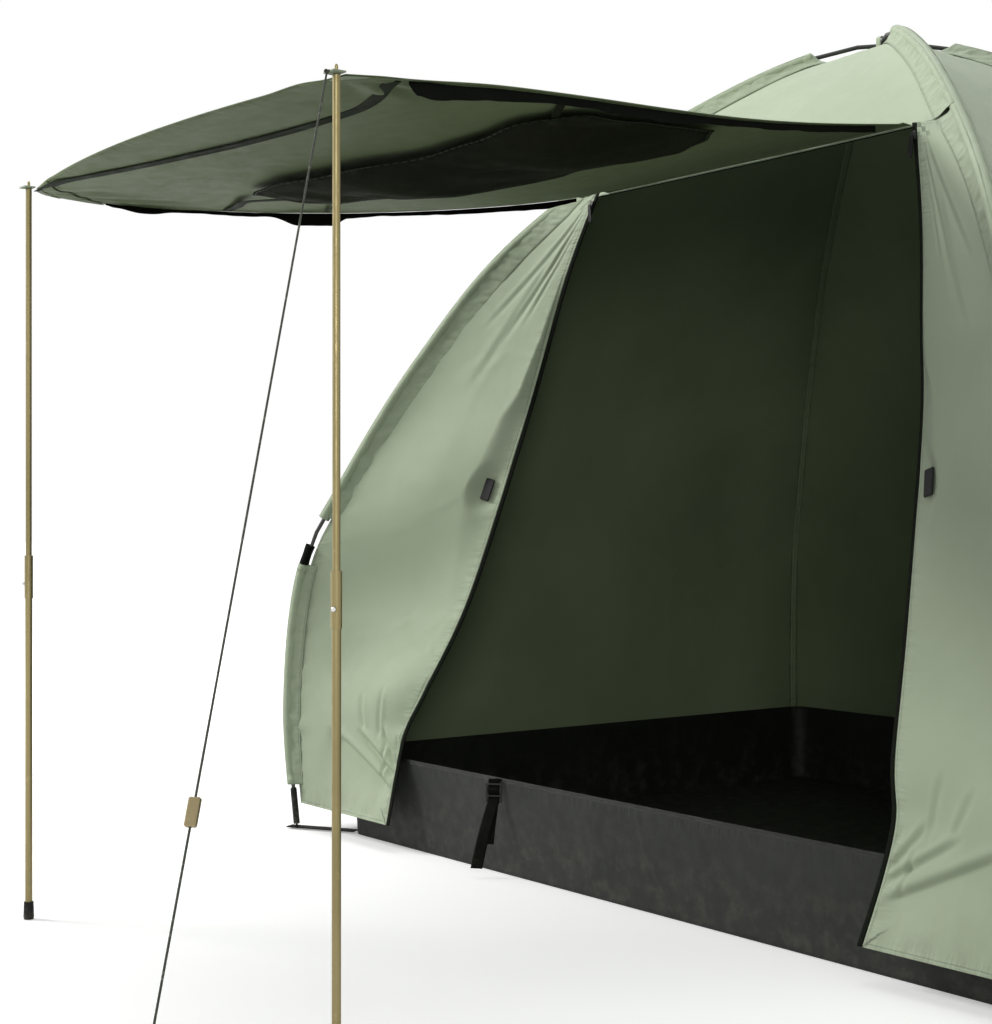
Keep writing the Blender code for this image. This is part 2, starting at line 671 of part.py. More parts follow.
def awning_pole(word, side):
    """Telescopic pole under one outer corner of the flap, hung from a sewn tab."""
    upper, outer = UPPER_TUBE_DIAMETER / 2, LOWER_TUBE_DIAMETER / 2
    bore = outer - LOWER_TUBE_WALL
    spigot = SPIGOT_DIAMETER / 2
    axis = Vector((side * FLAP_END_HALF, -POLE_FORWARD, 0))

    bottom = LOWER_TUBE_TOP - TUBE_OVERLAP
    tip = POLE_TOP + SPIGOT_LENGTH
    outline = ((0, bottom), (upper, bottom), (upper, POLE_TOP - TUBE_CHAMFER), (upper - TUBE_CHAMFER, POLE_TOP),
               (spigot, POLE_TOP), (spigot, tip - spigot), (spigot * 0.5, tip), (0, tip))
    item = turned(f"awning_pole_upper_{word}", outline, axis)
    paint(move_origin(item, axis + Vector((0, 0, POLE_TOP))), BRONZE, 0.35, 0.7)

    foot = FOOT_CAP_FLOOR + GAP
    outline = ((bore, foot), (outer, foot), (outer, LOWER_TUBE_TOP), (bore, LOWER_TUBE_TOP))
    item = turned(f"awning_pole_lower_{word}", outline, axis)
    paint(move_origin(item, axis + Vector((0, 0, LOWER_TUBE_TOP))), BRONZE, 0.35, 0.7)

    low = LOWER_TUBE_TOP - COLLAR_LENGTH
    lip = upper + SLIDE_GAP
    sleeve_bore = outer + SLIDE_GAP
    wide = sleeve_bore + COLLAR_WALL
    edge, rim = COLLAR_WALL / 2, LOWER_TUBE_TOP + COLLAR_LIP
    outline = ((sleeve_bore, low), (wide - edge, low), (wide, low + edge), (wide, rim - edge),
               (wide - edge, rim), (lip, rim), (lip, LOWER_TUBE_TOP + GAP), (sleeve_bore, LOWER_TUBE_TOP + GAP))
    collar = turned(f"pole_collar_{word}", outline, axis, segments=20)
    paint(move_origin(collar, axis + Vector((0, 0, LOWER_TUBE_TOP))), BRONZE, 0.4, 0.7)

    height = LOWER_TUBE_TOP - BUTTON_BELOW_TOP
    turn = math.radians(BUTTON_TURN)
    ahead = Vector((side * math.cos(turn), -math.sin(turn), 0))
    seat = outer + SLIDE_GAP + BUTTON_TRAVEL
    window = turned(f"button_window_{word}",
                    ((0, 0), (BUTTON_DIAMETER / 2 + GAP, 0), (BUTTON_DIAMETER / 2 + GAP, 0.004), (0, 0.004)),
                    axis + Vector((0, 0, height)) + ahead * (outer * WINDOW_START_SHARE), ahead)
    combine(collar, window)
    proud = wide + BUTTON_PROUD - seat
    outline = ((0, 0), (BUTTON_DIAMETER / 2, 0), (BUTTON_DIAMETER / 2, proud - 0.001),
               (BUTTON_DIAMETER / 2 - 0.001, proud), (0, proud))
    spot = axis + Vector((0, 0, height)) + ahead * seat
    item = turned(f"snap_button_{word}", outline, spot, ahead)
    paint(move_origin(item, spot), STEEL, 0.25, 1.0)

    wide = outer + GAP + FOOT_CAP_WALL
    outline = ((0, 0), (wide, 0), (wide + 0.001, 0.004), (wide, FOOT_CAP_HEIGHT), (outer + GAP, FOOT_CAP_HEIGHT),
               (outer + GAP, FOOT_CAP_FLOOR), (0, FOOT_CAP_FLOOR))
    paint(move_origin(turned(f"pole_foot_{word}", outline, axis), axis), BLACK, 0.7)
    corner_tab(word, axis + Vector((0, 0, TAB_LEVEL)))


def corner_tab(word, centre):
    """Tab with an eyelet on the pole's spigot, which the flap's corner is hooked to."""
    outer_end = centre.y - CORNER_TAB_WIDTH / 2
    inner_end = FLAP_HINGE.y - FLAP_REACH - CORNER_TAB_AHEAD
    frame = Matrix.Translation((centre.x, (inner_end + outer_end) / 2, centre.z))
    tab = block(f"corner_tab_{word}", (CORNER_TAB_WIDTH, inner_end - outer_end, CORNER_TAB_THICKNESS), frame)
    eyelet(move_origin(tab, centre), centre, SPIGOT_DIAMETER / 2 + PIN_CLEARANCE, EYELET_THICKNESS)
    paint(tab, SAGE, 0.75)


def floor_tub():
    """Floor sheet with upstanding walls."""
    def build(shape):
        verts = []
        for sign_x, sign_y, start in ((1, -1, -90), (1, 1, 0), (-1, 1, 90), (-1, -1, 180)):
            depth = TUB_FRONT if sign_y < 0 else TUB_BACK
            cx = sign_x * (TUB_HALF_WIDTH - TUB_CORNER_RADIUS - TUB_TAPER)
            cy = sign_y * (depth - TUB_CORNER_RADIUS - TUB_TAPER)
            for step in range(4):
                angle = math.radians(start + 90 * step / 3)
                verts.append(shape.verts.new((cx + TUB_CORNER_RADIUS * math.cos(angle),
                                              cy + TUB_CORNER_RADIUS * math.sin(angle), 0)))
        base = shape.faces.new(verts)
        rim = [edge for edge in base.edges]
        grown = bmesh.ops.extrude_edge_only(shape, edges=rim)
        top = [part for part in grown["geom"] if isinstance(part, bmesh.types.BMVert)]
        for vert in top:
            vert.co.x += math.copysign(TUB_TAPER, vert.co.x)
            vert.co.y += math.copysign(TUB_TAPER, vert.co.y)
            vert.co.z = TUB_WALL_HEIGHT
        bmesh.ops.recalc_face_normals(shape, faces=shape.faces)
        if base.normal.z > 0:
            bmesh.ops.reverse_faces(shape, faces=shape.faces)
    paint(solidify(mesh_object("floor_tub", build), TUB_CLOTH, offset=-1.0), BLACK, 0.6)


def foot_tabs():
    """Webbing from each tub corner to the eyelet round the pole's ground pin."""
    for leg, arch in ARCHES.items():
        sign_x, sign_y = LEG_SIGNS[leg]
        depth = TUB_FRONT if sign_y < 0 else TUB_BACK
        foot = arch.at(0)
        foot.z = TAB_HEIGHT
        round_back = TUB_CORNER_RADIUS * (1 - math.sqrt(0.5))
        corner = Vector((sign_x * (TUB_HALF_WIDTH - TUB_TAPER - round_back),
                         sign_y * (depth - TUB_TAPER - round_back), TAB_HEIGHT))
        way = (foot - corner).normalized()
        start = corner + way * (TUB_TAPER * FOOT_TAB_TAPER_SHARE + 3 * GAP)
        end = foot + way * TAB_OVERHANG
        frame = Matrix.Translation((start + end) / 2) @ Matrix.Rotation(math.atan2(way.y, way.x), 4, "Z")
        tab = block(f"foot_tab_{leg}", ((end - start).length, TAB_WIDTH, TAB_THICKNESS), frame)
        paint(eyelet(tab, foot, TIP_PIN_DIAMETER / 2 + PIN_CLEARANCE, EYELET_THICKNESS), BLACK, 0.7)


def strap_and_buckle():
    """Ladder-lock on the tub's front wall, its webbing woven through and hanging down."""
    pitch = BUCKLE_SLOT + BUCKLE_BAR
    height = BUCKLE_SLOTS * pitch + BUCKLE_BAR
    weave = BUCKLE_THICKNESS / 2 + STRAP_THICKNESS / 2 + 3 * GAP
    front = -TUB_FRONT - weave - STRAP_THICKNESS / 2 - GAP
    pivot = Matrix.Translation((STRAP_SIDE + BUCKLE_WIDTH / 2, front, 0))
    turn = pivot @ Matrix.Rotation(math.radians(STRAP_TURN), 4, "Z") @ pivot.inverted()
    frame = turn @ Matrix.Translation((STRAP_SIDE, front, BUCKLE_TOP - height / 2))
    buckle = block("ladder_lock_buckle", (BUCKLE_WIDTH, BUCKLE_THICKNESS, height), frame, 0.0006)
    for k in range(BUCKLE_SLOTS):
        middle = BUCKLE_TOP - BUCKLE_BAR - BUCKLE_SLOT / 2 - k * pitch
        slot = block(f"buckle_slot_{k + 1}", (STRAP_WIDTH + 0.002, 0.02, BUCKLE_SLOT),
                     turn @ Matrix.Translation((STRAP_SIDE, front, middle)))
        combine(buckle, slot)
    paint(buckle, BLACK, 0.4)

    first_bar = BUCKLE_TOP - BUCKLE_BAR / 2
    last_bar = first_bar - BUCKLE_SLOTS * pitch

    def webbing(u, v):
        x = STRAP_SIDE + (u - 0.5) * STRAP_WIDTH
        z = lerp(TUB_WALL_HEIGHT - 0.001, STRAP_TAIL_END, v)
        if z > first_bar:
            return turn @ Vector((x, front + weave, z))
        if z > last_bar:
            return turn @ Vector((x, front + weave * math.cos(math.pi * (first_bar - z) / pitch), z))
        hang = (last_bar - z) / (last_bar - STRAP_TAIL_END)
        lean = STRAP_LEAN * hang
        bow = STRAP_BOW * math.sin(math.pi * hang) + STRAP_SWING * hang
        return turn @ Vector((x - lean, front - weave - bow, z))
    paint(sheet("buckle_strap", webbing, 1, 60, STRAP_THICKNESS), BLACK, 0.8)


def guy_line():
    """Taut line from the near corner to its ground loop, with a runner on it."""
    top = Vector((FLAP_END_HALF, -POLE_FORWARD - CORNER_TAB_WIDTH / 2 - GAP - GUY_DIAMETER / 2, TAB_LEVEL))
    ground = Vector((FLAP_END_HALF + GUY_ASIDE, -POLE_FORWARD - GUY_FORWARD, GUY_DIAMETER / 2 + GUY_LIFT))
    path = []
    for step in range(GUY_POINTS + 1):
        t = step / GUY_POINTS
        path.append(top.lerp(ground, t) - Vector((0, 0, GUY_SAG * 4 * t * (1 - t))))
    paint(tube("guy_line", path, [GUY_DIAMETER / 2] * len(path)), BLACK, 0.8)

    way = (top - ground).normalized()
    loop = GUY_DIAMETER / 2
    away = Vector((GUY_ASIDE, -GUY_FORWARD, 0)).normalized()
    centre = ground + away * (GUY_LOOP_RADIUS + loop + GAP + GUY_DIAMETER * 0.6)
    centre.z = loop
    ring = [(GUY_LOOP_RADIUS + loop * math.cos(a), loop * math.sin(a))
            for a in (math.radians(60 * k) for k in range(6))]
    paint(turned("guy_ground_loop", ring, centre), BLACK, 0.8)

    share = (RUNNER_HEIGHT - ground.z) / (top.z - ground.z)
    middle = ground.lerp(top, share) - Vector((0, 0, GUY_SAG * 4 * share * (1 - share)))
    side = way.cross(Vector((0, 0, 1))).normalized()
    frame = Matrix((side, way.cross(side), way)).transposed().to_4x4()
    item = block("line_runner", (RUNNER_WIDTH, RUNNER_THICKNESS, RUNNER_LENGTH),
                 Matrix.Translation(middle) @ frame, 0.0015)
    bore = GUY_DIAMETER / 2 + 2 * GAP
    combine(item, turned("runner_bore", ((0, 0), (bore, 0), (bore, 2 * RUNNER_LENGTH), (0, 2 * RUNNER_LENGTH)),
                         middle - way * RUNNER_LENGTH, way, segments=12))
    paint(move_origin(item, middle), BRONZE, 0.4, 0.6)


def build_tent():
    clear_scene()
    arch_poles()
    pole_tips()
    sleeves()
    skin_panels()
    crossing_tie(crown_patch())
    wings()
    zip_parts()
    wing_toggles()
    header_band()
    door_flap()
    flap_bands()
    mesh_door()
    for word, side in (("left", -1), ("right", 1)):
        awning_pole(word, side)
    floor_tub()
    foot_tabs()
    strap_and_buckle()
    guy_line()


build_tent()
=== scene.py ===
"""Two-person tent with its door raised as an awning: cloth, trims, finishes, light and camera."""
import math
from functools import lru_cache

import bmesh
import bpy
from mathutils import Matrix, Vector, noise


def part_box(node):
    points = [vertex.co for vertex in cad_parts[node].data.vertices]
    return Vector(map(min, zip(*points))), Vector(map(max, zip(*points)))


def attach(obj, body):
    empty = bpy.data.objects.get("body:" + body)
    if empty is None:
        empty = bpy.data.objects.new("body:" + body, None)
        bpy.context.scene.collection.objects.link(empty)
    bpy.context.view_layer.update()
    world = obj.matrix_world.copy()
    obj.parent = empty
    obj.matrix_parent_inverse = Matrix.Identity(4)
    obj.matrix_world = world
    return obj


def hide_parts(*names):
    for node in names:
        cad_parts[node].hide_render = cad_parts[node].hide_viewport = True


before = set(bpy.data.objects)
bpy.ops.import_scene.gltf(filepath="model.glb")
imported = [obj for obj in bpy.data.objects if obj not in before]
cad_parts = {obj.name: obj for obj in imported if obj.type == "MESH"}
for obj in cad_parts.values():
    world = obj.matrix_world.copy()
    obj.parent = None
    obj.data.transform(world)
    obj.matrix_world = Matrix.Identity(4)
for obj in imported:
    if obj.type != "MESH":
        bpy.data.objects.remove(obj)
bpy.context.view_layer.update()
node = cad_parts

# Camera, which sees the tent from outside its front right corner at sitting height
CAMERA_PLACE = (2.638, -2.998, 0.750)
CAMERA_TURN = (math.pi / 2, 0, 0.933)
CAMERA_LENS = 65.32

# Arch poles and skin, as the frame has them
FOOT_HALF_WIDTH, FOOT_HALF_DEPTH, APEX_HEIGHT = 1.074, 0.835, 1.764
ARCH_SHAPE = ((1.0, 0.0), (1.0155, 0.17), (0.9904, 0.345), (0.913, 0.462),
              (0.776, 0.622), (0.594, 0.780), (0.291, 0.933), (0.0, 1.0))
POLE_DIAMETER = 0.0095
SLEEVE_DIAMETER, SLEEVE_WALL, SLEEVE_BOTTOM = 0.026, 0.0014, 0.105
SLEEVE_WINDOW, SLEEVE_END_RADIUS, APEX_WINDOW_DROP = (0.625, 0.735), 0.150, 0.026
CLOTH, GAP, SEAM_GAP, TAPE_GAP = 0.0020, 0.0004, 0.0030, 0.0010
HEM_HEIGHT, PANEL_SAG, ROOF_SAG, SAG_AT_HEM, CROWN_RADIUS = 0.060, 0.040, 0.015, 0.2, 0.060
HEADER_HEIGHT, HEADER_BAND_HEIGHT, HEADER_BAND_INSET = 1.468, 0.022, 0.06
ZIP_LINE = ((1.408, 0.244, 0.395), (1.298, 0.259, 0.360), (1.208, 0.262, 0.333), (1.118, 0.232, 0.300),
            (0.911, 0.184, 0.212), (0.568, 0.133, 0.112), (0.400, 0.101, 0.074), (0.198, 0.064, 0.032),
            (0.006, 0.010, -0.012))
ZIP_TAPE_WIDTH = 0.010

# Door flap, mesh door and awning poles
FLAP_HINGE = Vector((0, -0.437168, 1.460))
FLAP_HINGE_GAP, FLAP_REACH, FLAP_DROP, FLAP_BOW = 0.006, 1.262, 0.112, 0.065
FLAP_ROOT_HALF, FLAP_END_HALF, FLAP_EDGE_CURVE = 0.436, 0.541, 0.030
FLAP_FAR_SAG, FLAP_NEAR_WAVE, FLAP_MIDDLE_SAG, SAG_LEAN, SAG_FULLNESS = 0.050, 0.0085, 0.022, 1.15, 0.55
BAND_INSET, BAND_RUN = 0.008, (0.05, 0.90)
MESH_LEAF_SHARES = ((-0.450, 0.610, 0.757), (-0.34, 0.580, 0.768), (-0.20, 0.525, 0.764), (0.0, 0.480, 0.740),
                    (0.20, 0.415, 0.706), (0.42, 0.385, 0.668), (0.60, 0.325, 0.660), (0.78, 0.325, 0.648),
                    (0.915, 0.350, 0.585))
MESH_BELOW, MESH_SAG, MESH_FOLDS, MESH_FOLD_DEPTH = 0.012, 0.030, 3, 0.006
TAB_LEVEL = 1.348

# Floor tub, strap and guy line
TUB_HALF_WIDTH, TUB_FRONT, TUB_BACK, TUB_WALL_HEIGHT = 0.960, 0.775, 0.735, 0.200
TUB_CORNER_RADIUS, TUB_TAPER, TUB_CLOTH, FLOOR_LEVEL = 0.040, 0.012, 0.0020, 0.0011
STRAP_SIDE, STRAP_WIDTH, STRAP_THICKNESS, STRAP_TAIL_END = -0.352, 0.025, 0.0014, 0.018
STRAP_LEAN, STRAP_BOW, STRAP_SWING, STRAP_TURN, BUCKLE_WIDTH = 0.030, 0.010, 0.022, 38, 0.035
BUCKLE_TOP, BUCKLE_PITCH, BUCKLE_BAR, BUCKLE_THICKNESS = 0.190, 0.012, 0.003, 0.003
GUY_DIAMETER, GUY_SAG, GUY_POINTS, GUY_LOOP_RADIUS = 0.0030, 0.004, 40, 0.012
GUY_KNOT_SIZE, RING_TURNS, RING_SIDES = 0.0036, 32, 8
GUY_TOP = Vector((FLAP_END_HALF, -1.729068, TAB_LEVEL))
GUY_GROUND = Vector((0.961, -2.234168, 0.0055))
GUY_RING = Vector((0.97086, -2.24638, 0.0015))

FRONT_LEFT, FRONT_RIGHT, BACK_LEFT, BACK_RIGHT = "front_left", "front_right", "back_left", "back_right"
LEG_SIGNS = {FRONT_LEFT: (-1, -1), FRONT_RIGHT: (1, -1), BACK_LEFT: (-1, 1), BACK_RIGHT: (1, 1)}
FOOT_RADIUS = math.hypot(FOOT_HALF_WIDTH, FOOT_HALF_DEPTH)
SEAM_DROP = SLEEVE_DIAMETER / 2 + GAP + CLOTH / 2

# Fineness of the cloth grids
FINE = 1.0


def lerp(a, b, t):
    return a + (b - a) * t


def smooth_step(t):
    t = min(max(t, 0.0), 1.0)
    return t * t * (3 - 2 * t)


def bump_at(x, centre, width):
    """1 at the centre, falling softly to 0 at the width."""
    return smooth_step(1 - abs(x - centre) / width)


def arc(t):
    """0 at both ends of the run from 0 to 1, and 1 in its middle."""
    return math.sin(math.pi * t)


def share_at(table, t):
    """Value at t on a line through (place, value) pairs, eased between them."""
    if t <= table[0][0]:
        return table[0][1]
    for (t0, low), (t1, high) in zip(table, table[1:]):
        if t <= t1:
            return lerp(low, high, smooth_step((t - t0) / (t1 - t0)))
    return table[-1][1]


def spline_through(points, steps):
    """Smooth path through the points, with the same number of steps in each stretch."""
    padded = [points[0] * 2 - points[1], *points, points[-1] * 2 - points[-2]]
    path = []
    for k in range(1, len(padded) - 2):
        p0, p1, p2, p3 = padded[k - 1:k + 3]
        for step in range(steps):
            t = step / steps
            path.append(0.5 * (2 * p1 + (p2 - p0) * t + (2 * p0 - 5 * p1 + 4 * p2 - p3) * t ** 2
                               + (3 * p1 - 3 * p2 + p3 - p0) * t ** 3))
    path.append(points[-1])
    return path


# ---------------------------------------------------------------- camera and guy line

def set_camera():
    data = bpy.data.cameras.new("camera")
    data.sensor_fit, data.sensor_width, data.lens = "HORIZONTAL", 36, CAMERA_LENS
    data.clip_start, data.clip_end = 0.05, 100
    camera = bpy.data.objects.new("camera", data)
    camera.location, camera.rotation_euler = CAMERA_PLACE, CAMERA_TURN
    bpy.context.scene.collection.objects.link(camera)
    bpy.context.scene.camera = camera


def place(name, data, body="tent"):
    item = bpy.data.objects.new(name, data)
    bpy.context.scene.collection.objects.link(item)
    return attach(item, body)


def guy_cord():
    path = []
    for step in range(GUY_POINTS + 1):
        t = step / GUY_POINTS
        path.append(GUY_TOP.lerp(GUY_GROUND, t) - Vector((0, 0, GUY_SAG * 4 * t * (1 - t))))
    curve = bpy.data.curves.new("guy_cord", "CURVE")
    curve.dimensions, curve.bevel_depth, curve.bevel_resolution = "3D", GUY_DIAMETER / 2, 3
    curve.use_fill_caps = True
    line = curve.splines.new("POLY")
    line.points.add(len(path) - 1)
    for knot, spot in zip(line.points, path):
        knot.co = (*spot, 1)
    line.use_smooth = True
    curve.materials.append(finish["guy cord"])
    item = place("guy_cord", curve)
    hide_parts("guy_line")
    loops = [ground_loop(), knot_round("guy_knot", GUY_TOP, GUY_KNOT_SIZE)]


def ring_of(shape, radius, wire, centre):
    """A closed ring of cord, spun from one round section."""
    section = bmesh.ops.create_circle(shape, segments=RING_SIDES, radius=wire)["verts"]
    bmesh.ops.rotate(shape, verts=section, cent=(0, 0, 0), matrix=Matrix.Rotation(math.pi / 2, 3, "X"))
    bmesh.ops.translate(shape, verts=section, vec=(radius, 0, 0))
    edges = list(dict.fromkeys(edge for vert in section for edge in vert.link_edges))
    bmesh.ops.spin(shape, geom=edges, cent=(0, 0, 0), axis=(0, 0, 1), angle=2 * math.pi,
                   steps=RING_TURNS, use_merge=True)
    bmesh.ops.remove_doubles(shape, verts=shape.verts, dist=1e-6)
    bmesh.ops.recalc_face_normals(shape, faces=shape.faces)
    bmesh.ops.translate(shape, verts=shape.verts, vec=centre)


def mesh_piece(name, build, finishes, body="tent", replaces=(), sharp=40):
    shape = bmesh.new()
    build(shape)
    mesh = bpy.data.meshes.new(name)
    shape.to_mesh(mesh)
    shape.free()
    mesh.shade_smooth()
    if sharp:
        mesh.set_sharp_from_angle(angle=math.radians(sharp))
    for each in finishes:
        mesh.materials.append(finish[each])
    item = place(name, mesh, body)
    if replaces:
        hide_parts(*replaces)
    return item


def ground_loop():
    return mesh_piece("guy_end_loop", lambda shape: ring_of(shape, GUY_LOOP_RADIUS, GUY_DIAMETER / 2, GUY_RING),
                      ["guy cord"], replaces=["guy_ground_loop"])


def knot_round(name, spot, size):
    """A small overhand knot: a trefoil of cord pulled tight."""
    def build(shape):
        steps, sides = 48, 6
        rings = []
        for step in range(steps):
            t = 2 * math.pi * step / steps
            centre = Vector((math.sin(t) + 2 * math.sin(2 * t), math.cos(t) - 2 * math.cos(2 * t),
                             -math.sin(3 * t))) * (size / 3)
            ahead = Vector((math.cos(t) + 4 * math.cos(2 * t), -math.sin(t) + 4 * math.sin(2 * t),
                            -3 * math.cos(3 * t))).normalized()
            side = ahead.cross(Vector((0, 0, 1))).normalized()
            up = side.cross(ahead)
            rings.append([shape.verts.new(spot + centre + (side * math.cos(a) + up * math.sin(a))
                                          * GUY_DIAMETER * 0.42)
                          for a in (2 * math.pi * k / sides for k in range(sides))])
        edges = [[shape.edges.new(pair) for pair in zip(ring, ring[1:] + ring[:1])] for ring in rings]
        for low, high in zip(edges, edges[1:] + edges[:1]):
            bmesh.ops.bridge_loops(shape, edges=low + high)
        bmesh.ops.recalc_face_normals(shape, faces=shape.faces)
    return mesh_piece(name, build, ["guy cord"])


# ---------------------------------------------------------------- finishes

class Board:
    """Adds nodes to a tree and links what is fed to them."""

    def __init__(self, tree):
        self.tree = tree

    def node(self, kind, settings=None, **feeds):
        made = self.tree.nodes.new(kind)
        for key, value in (settings or {}).items():
            setattr(made, key, value)
        for key, value in feeds.items():
            self.feed(made.inputs[key.replace("_", " ")], value)
        return made

    def feed(self, socket, value):
        if isinstance(value, bpy.types.NodeSocket):
            self.tree.links.new(value, socket)
        else:
            socket.default_value = value

    def math(self, operation, a, b=0.0, c=0.0):
        made = self.tree.nodes.new("ShaderNodeMath")
        made.operation = operation
        for socket, value in zip(made.inputs, (a, b, c)):
            self.feed(socket, value)
        return made.outputs[0]

    def times(self, a, b):
        return self.math("MULTIPLY", a, b)

    def add(self, *heights):
        total = heights[0]
        for height in heights[1:]:
            total = self.math("ADD", total, height)
        return total

    def blend(self, share, a, b):
        made = self.tree.nodes.new("ShaderNodeMix")
        made.data_type = "RGBA"
        for socket, value in zip((made.inputs[0], made.inputs[6], made.inputs[7]), (share, a, b)):
            self.feed(socket, (*value, 1) if isinstance(value, tuple) and len(value) == 3 else value)
        return made.outputs[2]

    def noise(self, vector, scale, detail=3.0, roughness=0.55):
        return self.node("ShaderNodeTexNoise", Vector=vector, Scale=scale, Detail=detail,
                         Roughness=roughness).outputs["Fac"]

    def scaled(self, vector, scale):
        made = self.tree.nodes.new("ShaderNodeVectorMath")
        made.operation = "MULTIPLY"
        self.feed(made.inputs[0], vector)
        self.feed(made.inputs[1], scale)
        return made.outputs[0]

    def ramp(self, value, low, high, to_low=0.0, to_high=1.0):
        made = self.node("ShaderNodeMapRange", {"clamp": True, "interpolation_type": "SMOOTHSTEP"}, Value=value,
                         From_Min=low, From_Max=high, To_Min=to_low, To_Max=to_high)
        return made.outputs[0]

    def use(self, group, **feeds):
        return self.node("ShaderNodeGroup", {"node_tree": groups[group]}, **feeds).outputs

    def here(self):
        return self.node("ShaderNodeTexCoord").outputs["Object"]

    def cut(self):
        return self.node("ShaderNodeUVMap", {"uv_map": "cut"}).outputs[0]

    def attribute(self, name):
        return self.node("ShaderNodeAttribute", {"attribute_name": name}).outputs["Fac"]

    def toned(self, wear, light, dark):
        """Colour between light and dark by the unevenness of the dye."""
        return self.blend(self.ramp(wear["Tone"], 0.35, 0.65), light, dark)

    def worn(self, wear, smooth, rough):
        """Roughness between smooth and rough by the handling marks."""
        return self.ramp(wear["Marks"], 0.3, 0.7, smooth, rough)

    def seen(self):
        """1 for rays from the camera, and for those mirrored or let through, else 0."""
        path = self.node("ShaderNodeLightPath").outputs
        return self.math("MAXIMUM", self.math("MAXIMUM", path["Is Camera Ray"], path["Is Glossy Ray"]),
                         path["Is Transmission Ray"])


def effect(name, inputs, outputs):
    """A node group with named inputs and outputs, returned with its board and both ends."""
    tree = bpy.data.node_groups.new(name, "ShaderNodeTree")
    for label, kind, default in inputs:
        socket = tree.interface.new_socket(label, in_out="INPUT", socket_type="NodeSocket" + kind)
        if default is not None:
            socket.default_value = default
    for label, kind in outputs:
        tree.interface.new_socket(label, in_out="OUTPUT", socket_type="NodeSocket" + kind)
    start, end = tree.nodes.new("NodeGroupInput"), tree.nodes.new("NodeGroupOutput")
    return tree, Board(tree), start.outputs, end.inputs


def weave_effect():
    """Over and under of warp and weft, from a place in metres."""
    tree, b, given, put = effect("weave", [("Place", "Vector", None), ("Thread", "Float", 0.0004)],
                                 [("Height", "Float"), ("Shade", "Float")])
    split = b.node("ShaderNodeSeparateXYZ", Vector=given["Place"]).outputs
    waves = [b.math("SINE", b.times(b.math("DIVIDE", part, given["Thread"]), math.pi))
             for part in (split[0], split[1])]
    over = b.times(*waves)
    b.feed(put["Height"], b.times(over, given["Thread"]))
    b.feed(put["Shade"], b.math("MULTIPLY_ADD", over, 0.5, 0.5))
    return tree


def seam_effect():
    """A row of stitches beside a sewn edge, and the puckers that it draws in the cloth."""
    tree, b, given, put = effect(
        "seam", [("Edge", "Float", 1.0), ("Run", "Float", 0.0), ("Row", "Float", 0.006),
                 ("Pucker", "Float", 0.05), ("Stitch", "Float", 0.0035)],
        [("Line", "Float"), ("Dash", "Float"), ("Pucker", "Float"), ("Height", "Float")])
    off = b.math("ABSOLUTE", b.math("SUBTRACT", given["Edge"], given["Row"]))
    line = b.ramp(off, 0.0006, 0.0020, 1.0, 0.0)
    gate = b.math("GREATER_THAN", b.math("FRACT", b.math("DIVIDE", given["Run"], given["Stitch"])), 0.35)
    b.feed(put["Line"], line)
    b.feed(put["Dash"], b.times(line, gate))
    place_here = b.node("ShaderNodeCombineXYZ", X=b.times(given["Run"], 46.0),
                        Y=b.times(given["Edge"], 9.0)).outputs[0]
    falling = b.math("POWER", b.ramp(given["Edge"], 0.0, given["Pucker"], 1.0, 0.0), 1.5)
    pucker = b.times(b.math("SUBTRACT", b.noise(place_here, 1.0, 3.0, 0.6), 0.5), falling)
    b.feed(put["Pucker"], b.math("MULTIPLY_ADD", pucker, 1.0, 0.5))
    b.feed(put["Height"], b.math("SUBTRACT", b.times(pucker, 0.006), b.times(line, 0.0006)))
    return tree


def wear_effect():
    """Uneven dye, faint handling marks, and dust that gathers towards the ground."""
    tree, b, given, put = effect("wear", [("Place", "Vector", None), ("Dust", "Float", 0.3)],
                                 [("Tone", "Float"), ("Marks", "Float"), ("Dust", "Float")])
    b.feed(put["Tone"], b.noise(given["Place"], 2.2, 3.0, 0.5))
    b.feed(put["Marks"], b.noise(given["Place"], 38.0, 5.0, 0.62))
    height = b.node("ShaderNodeSeparateXYZ", Vector=given["Place"]).outputs[2]
    low = b.ramp(height, 0.0, 0.22, 1.0, 0.0)
    spotted = b.ramp(b.noise(given["Place"], 26.0, 5.0, 0.7), 0.42, 0.72)
    b.feed(put["Dust"], b.times(b.times(low, spotted), given["Dust"]))
    return tree


def crease_effect():
    """Long soft creases left by packing, and finer crumples between them."""
    tree, b, given, put = effect("creases", [("Place", "Vector", None), ("Depth", "Float", 0.002)],
                                 [("Height", "Float"), ("Shade", "Float")])
    warped = b.node("ShaderNodeTexNoise", {"noise_dimensions": "3D"}, Vector=given["Place"], Scale=1.7,
                    Detail=2.0).outputs["Color"]
    moved = b.tree.nodes.new("ShaderNodeVectorMath")
    moved.operation = "MULTIPLY_ADD"
    b.feed(moved.inputs[0], warped)
    b.feed(moved.inputs[1], (0.35, 0.35, 0.35))
    b.feed(moved.inputs[2], given["Place"])
    ridges = b.math("ABSOLUTE", b.math("SUBTRACT", b.noise(moved.outputs[0], 3.4, 2.0, 0.45), 0.5))
    sharp = b.ramp(ridges, 0.0, 0.06, 1.0, 0.0)
    soft = b.noise(b.scaled(moved.outputs[0], (1.0, 1.0, 0.45)), 7.0, 3.0, 0.5)
    b.feed(put["Height"], b.times(b.add(b.times(sharp, 0.25), soft), given["Depth"]))
    b.feed(put["Shade"], sharp)
    return tree


def plain_board(name):
    material = finish[name] = bpy.data.materials.new(name)
    material.use_nodes = True
    return Board(material.node_tree), material.node_tree.nodes["Principled BSDF"].inputs


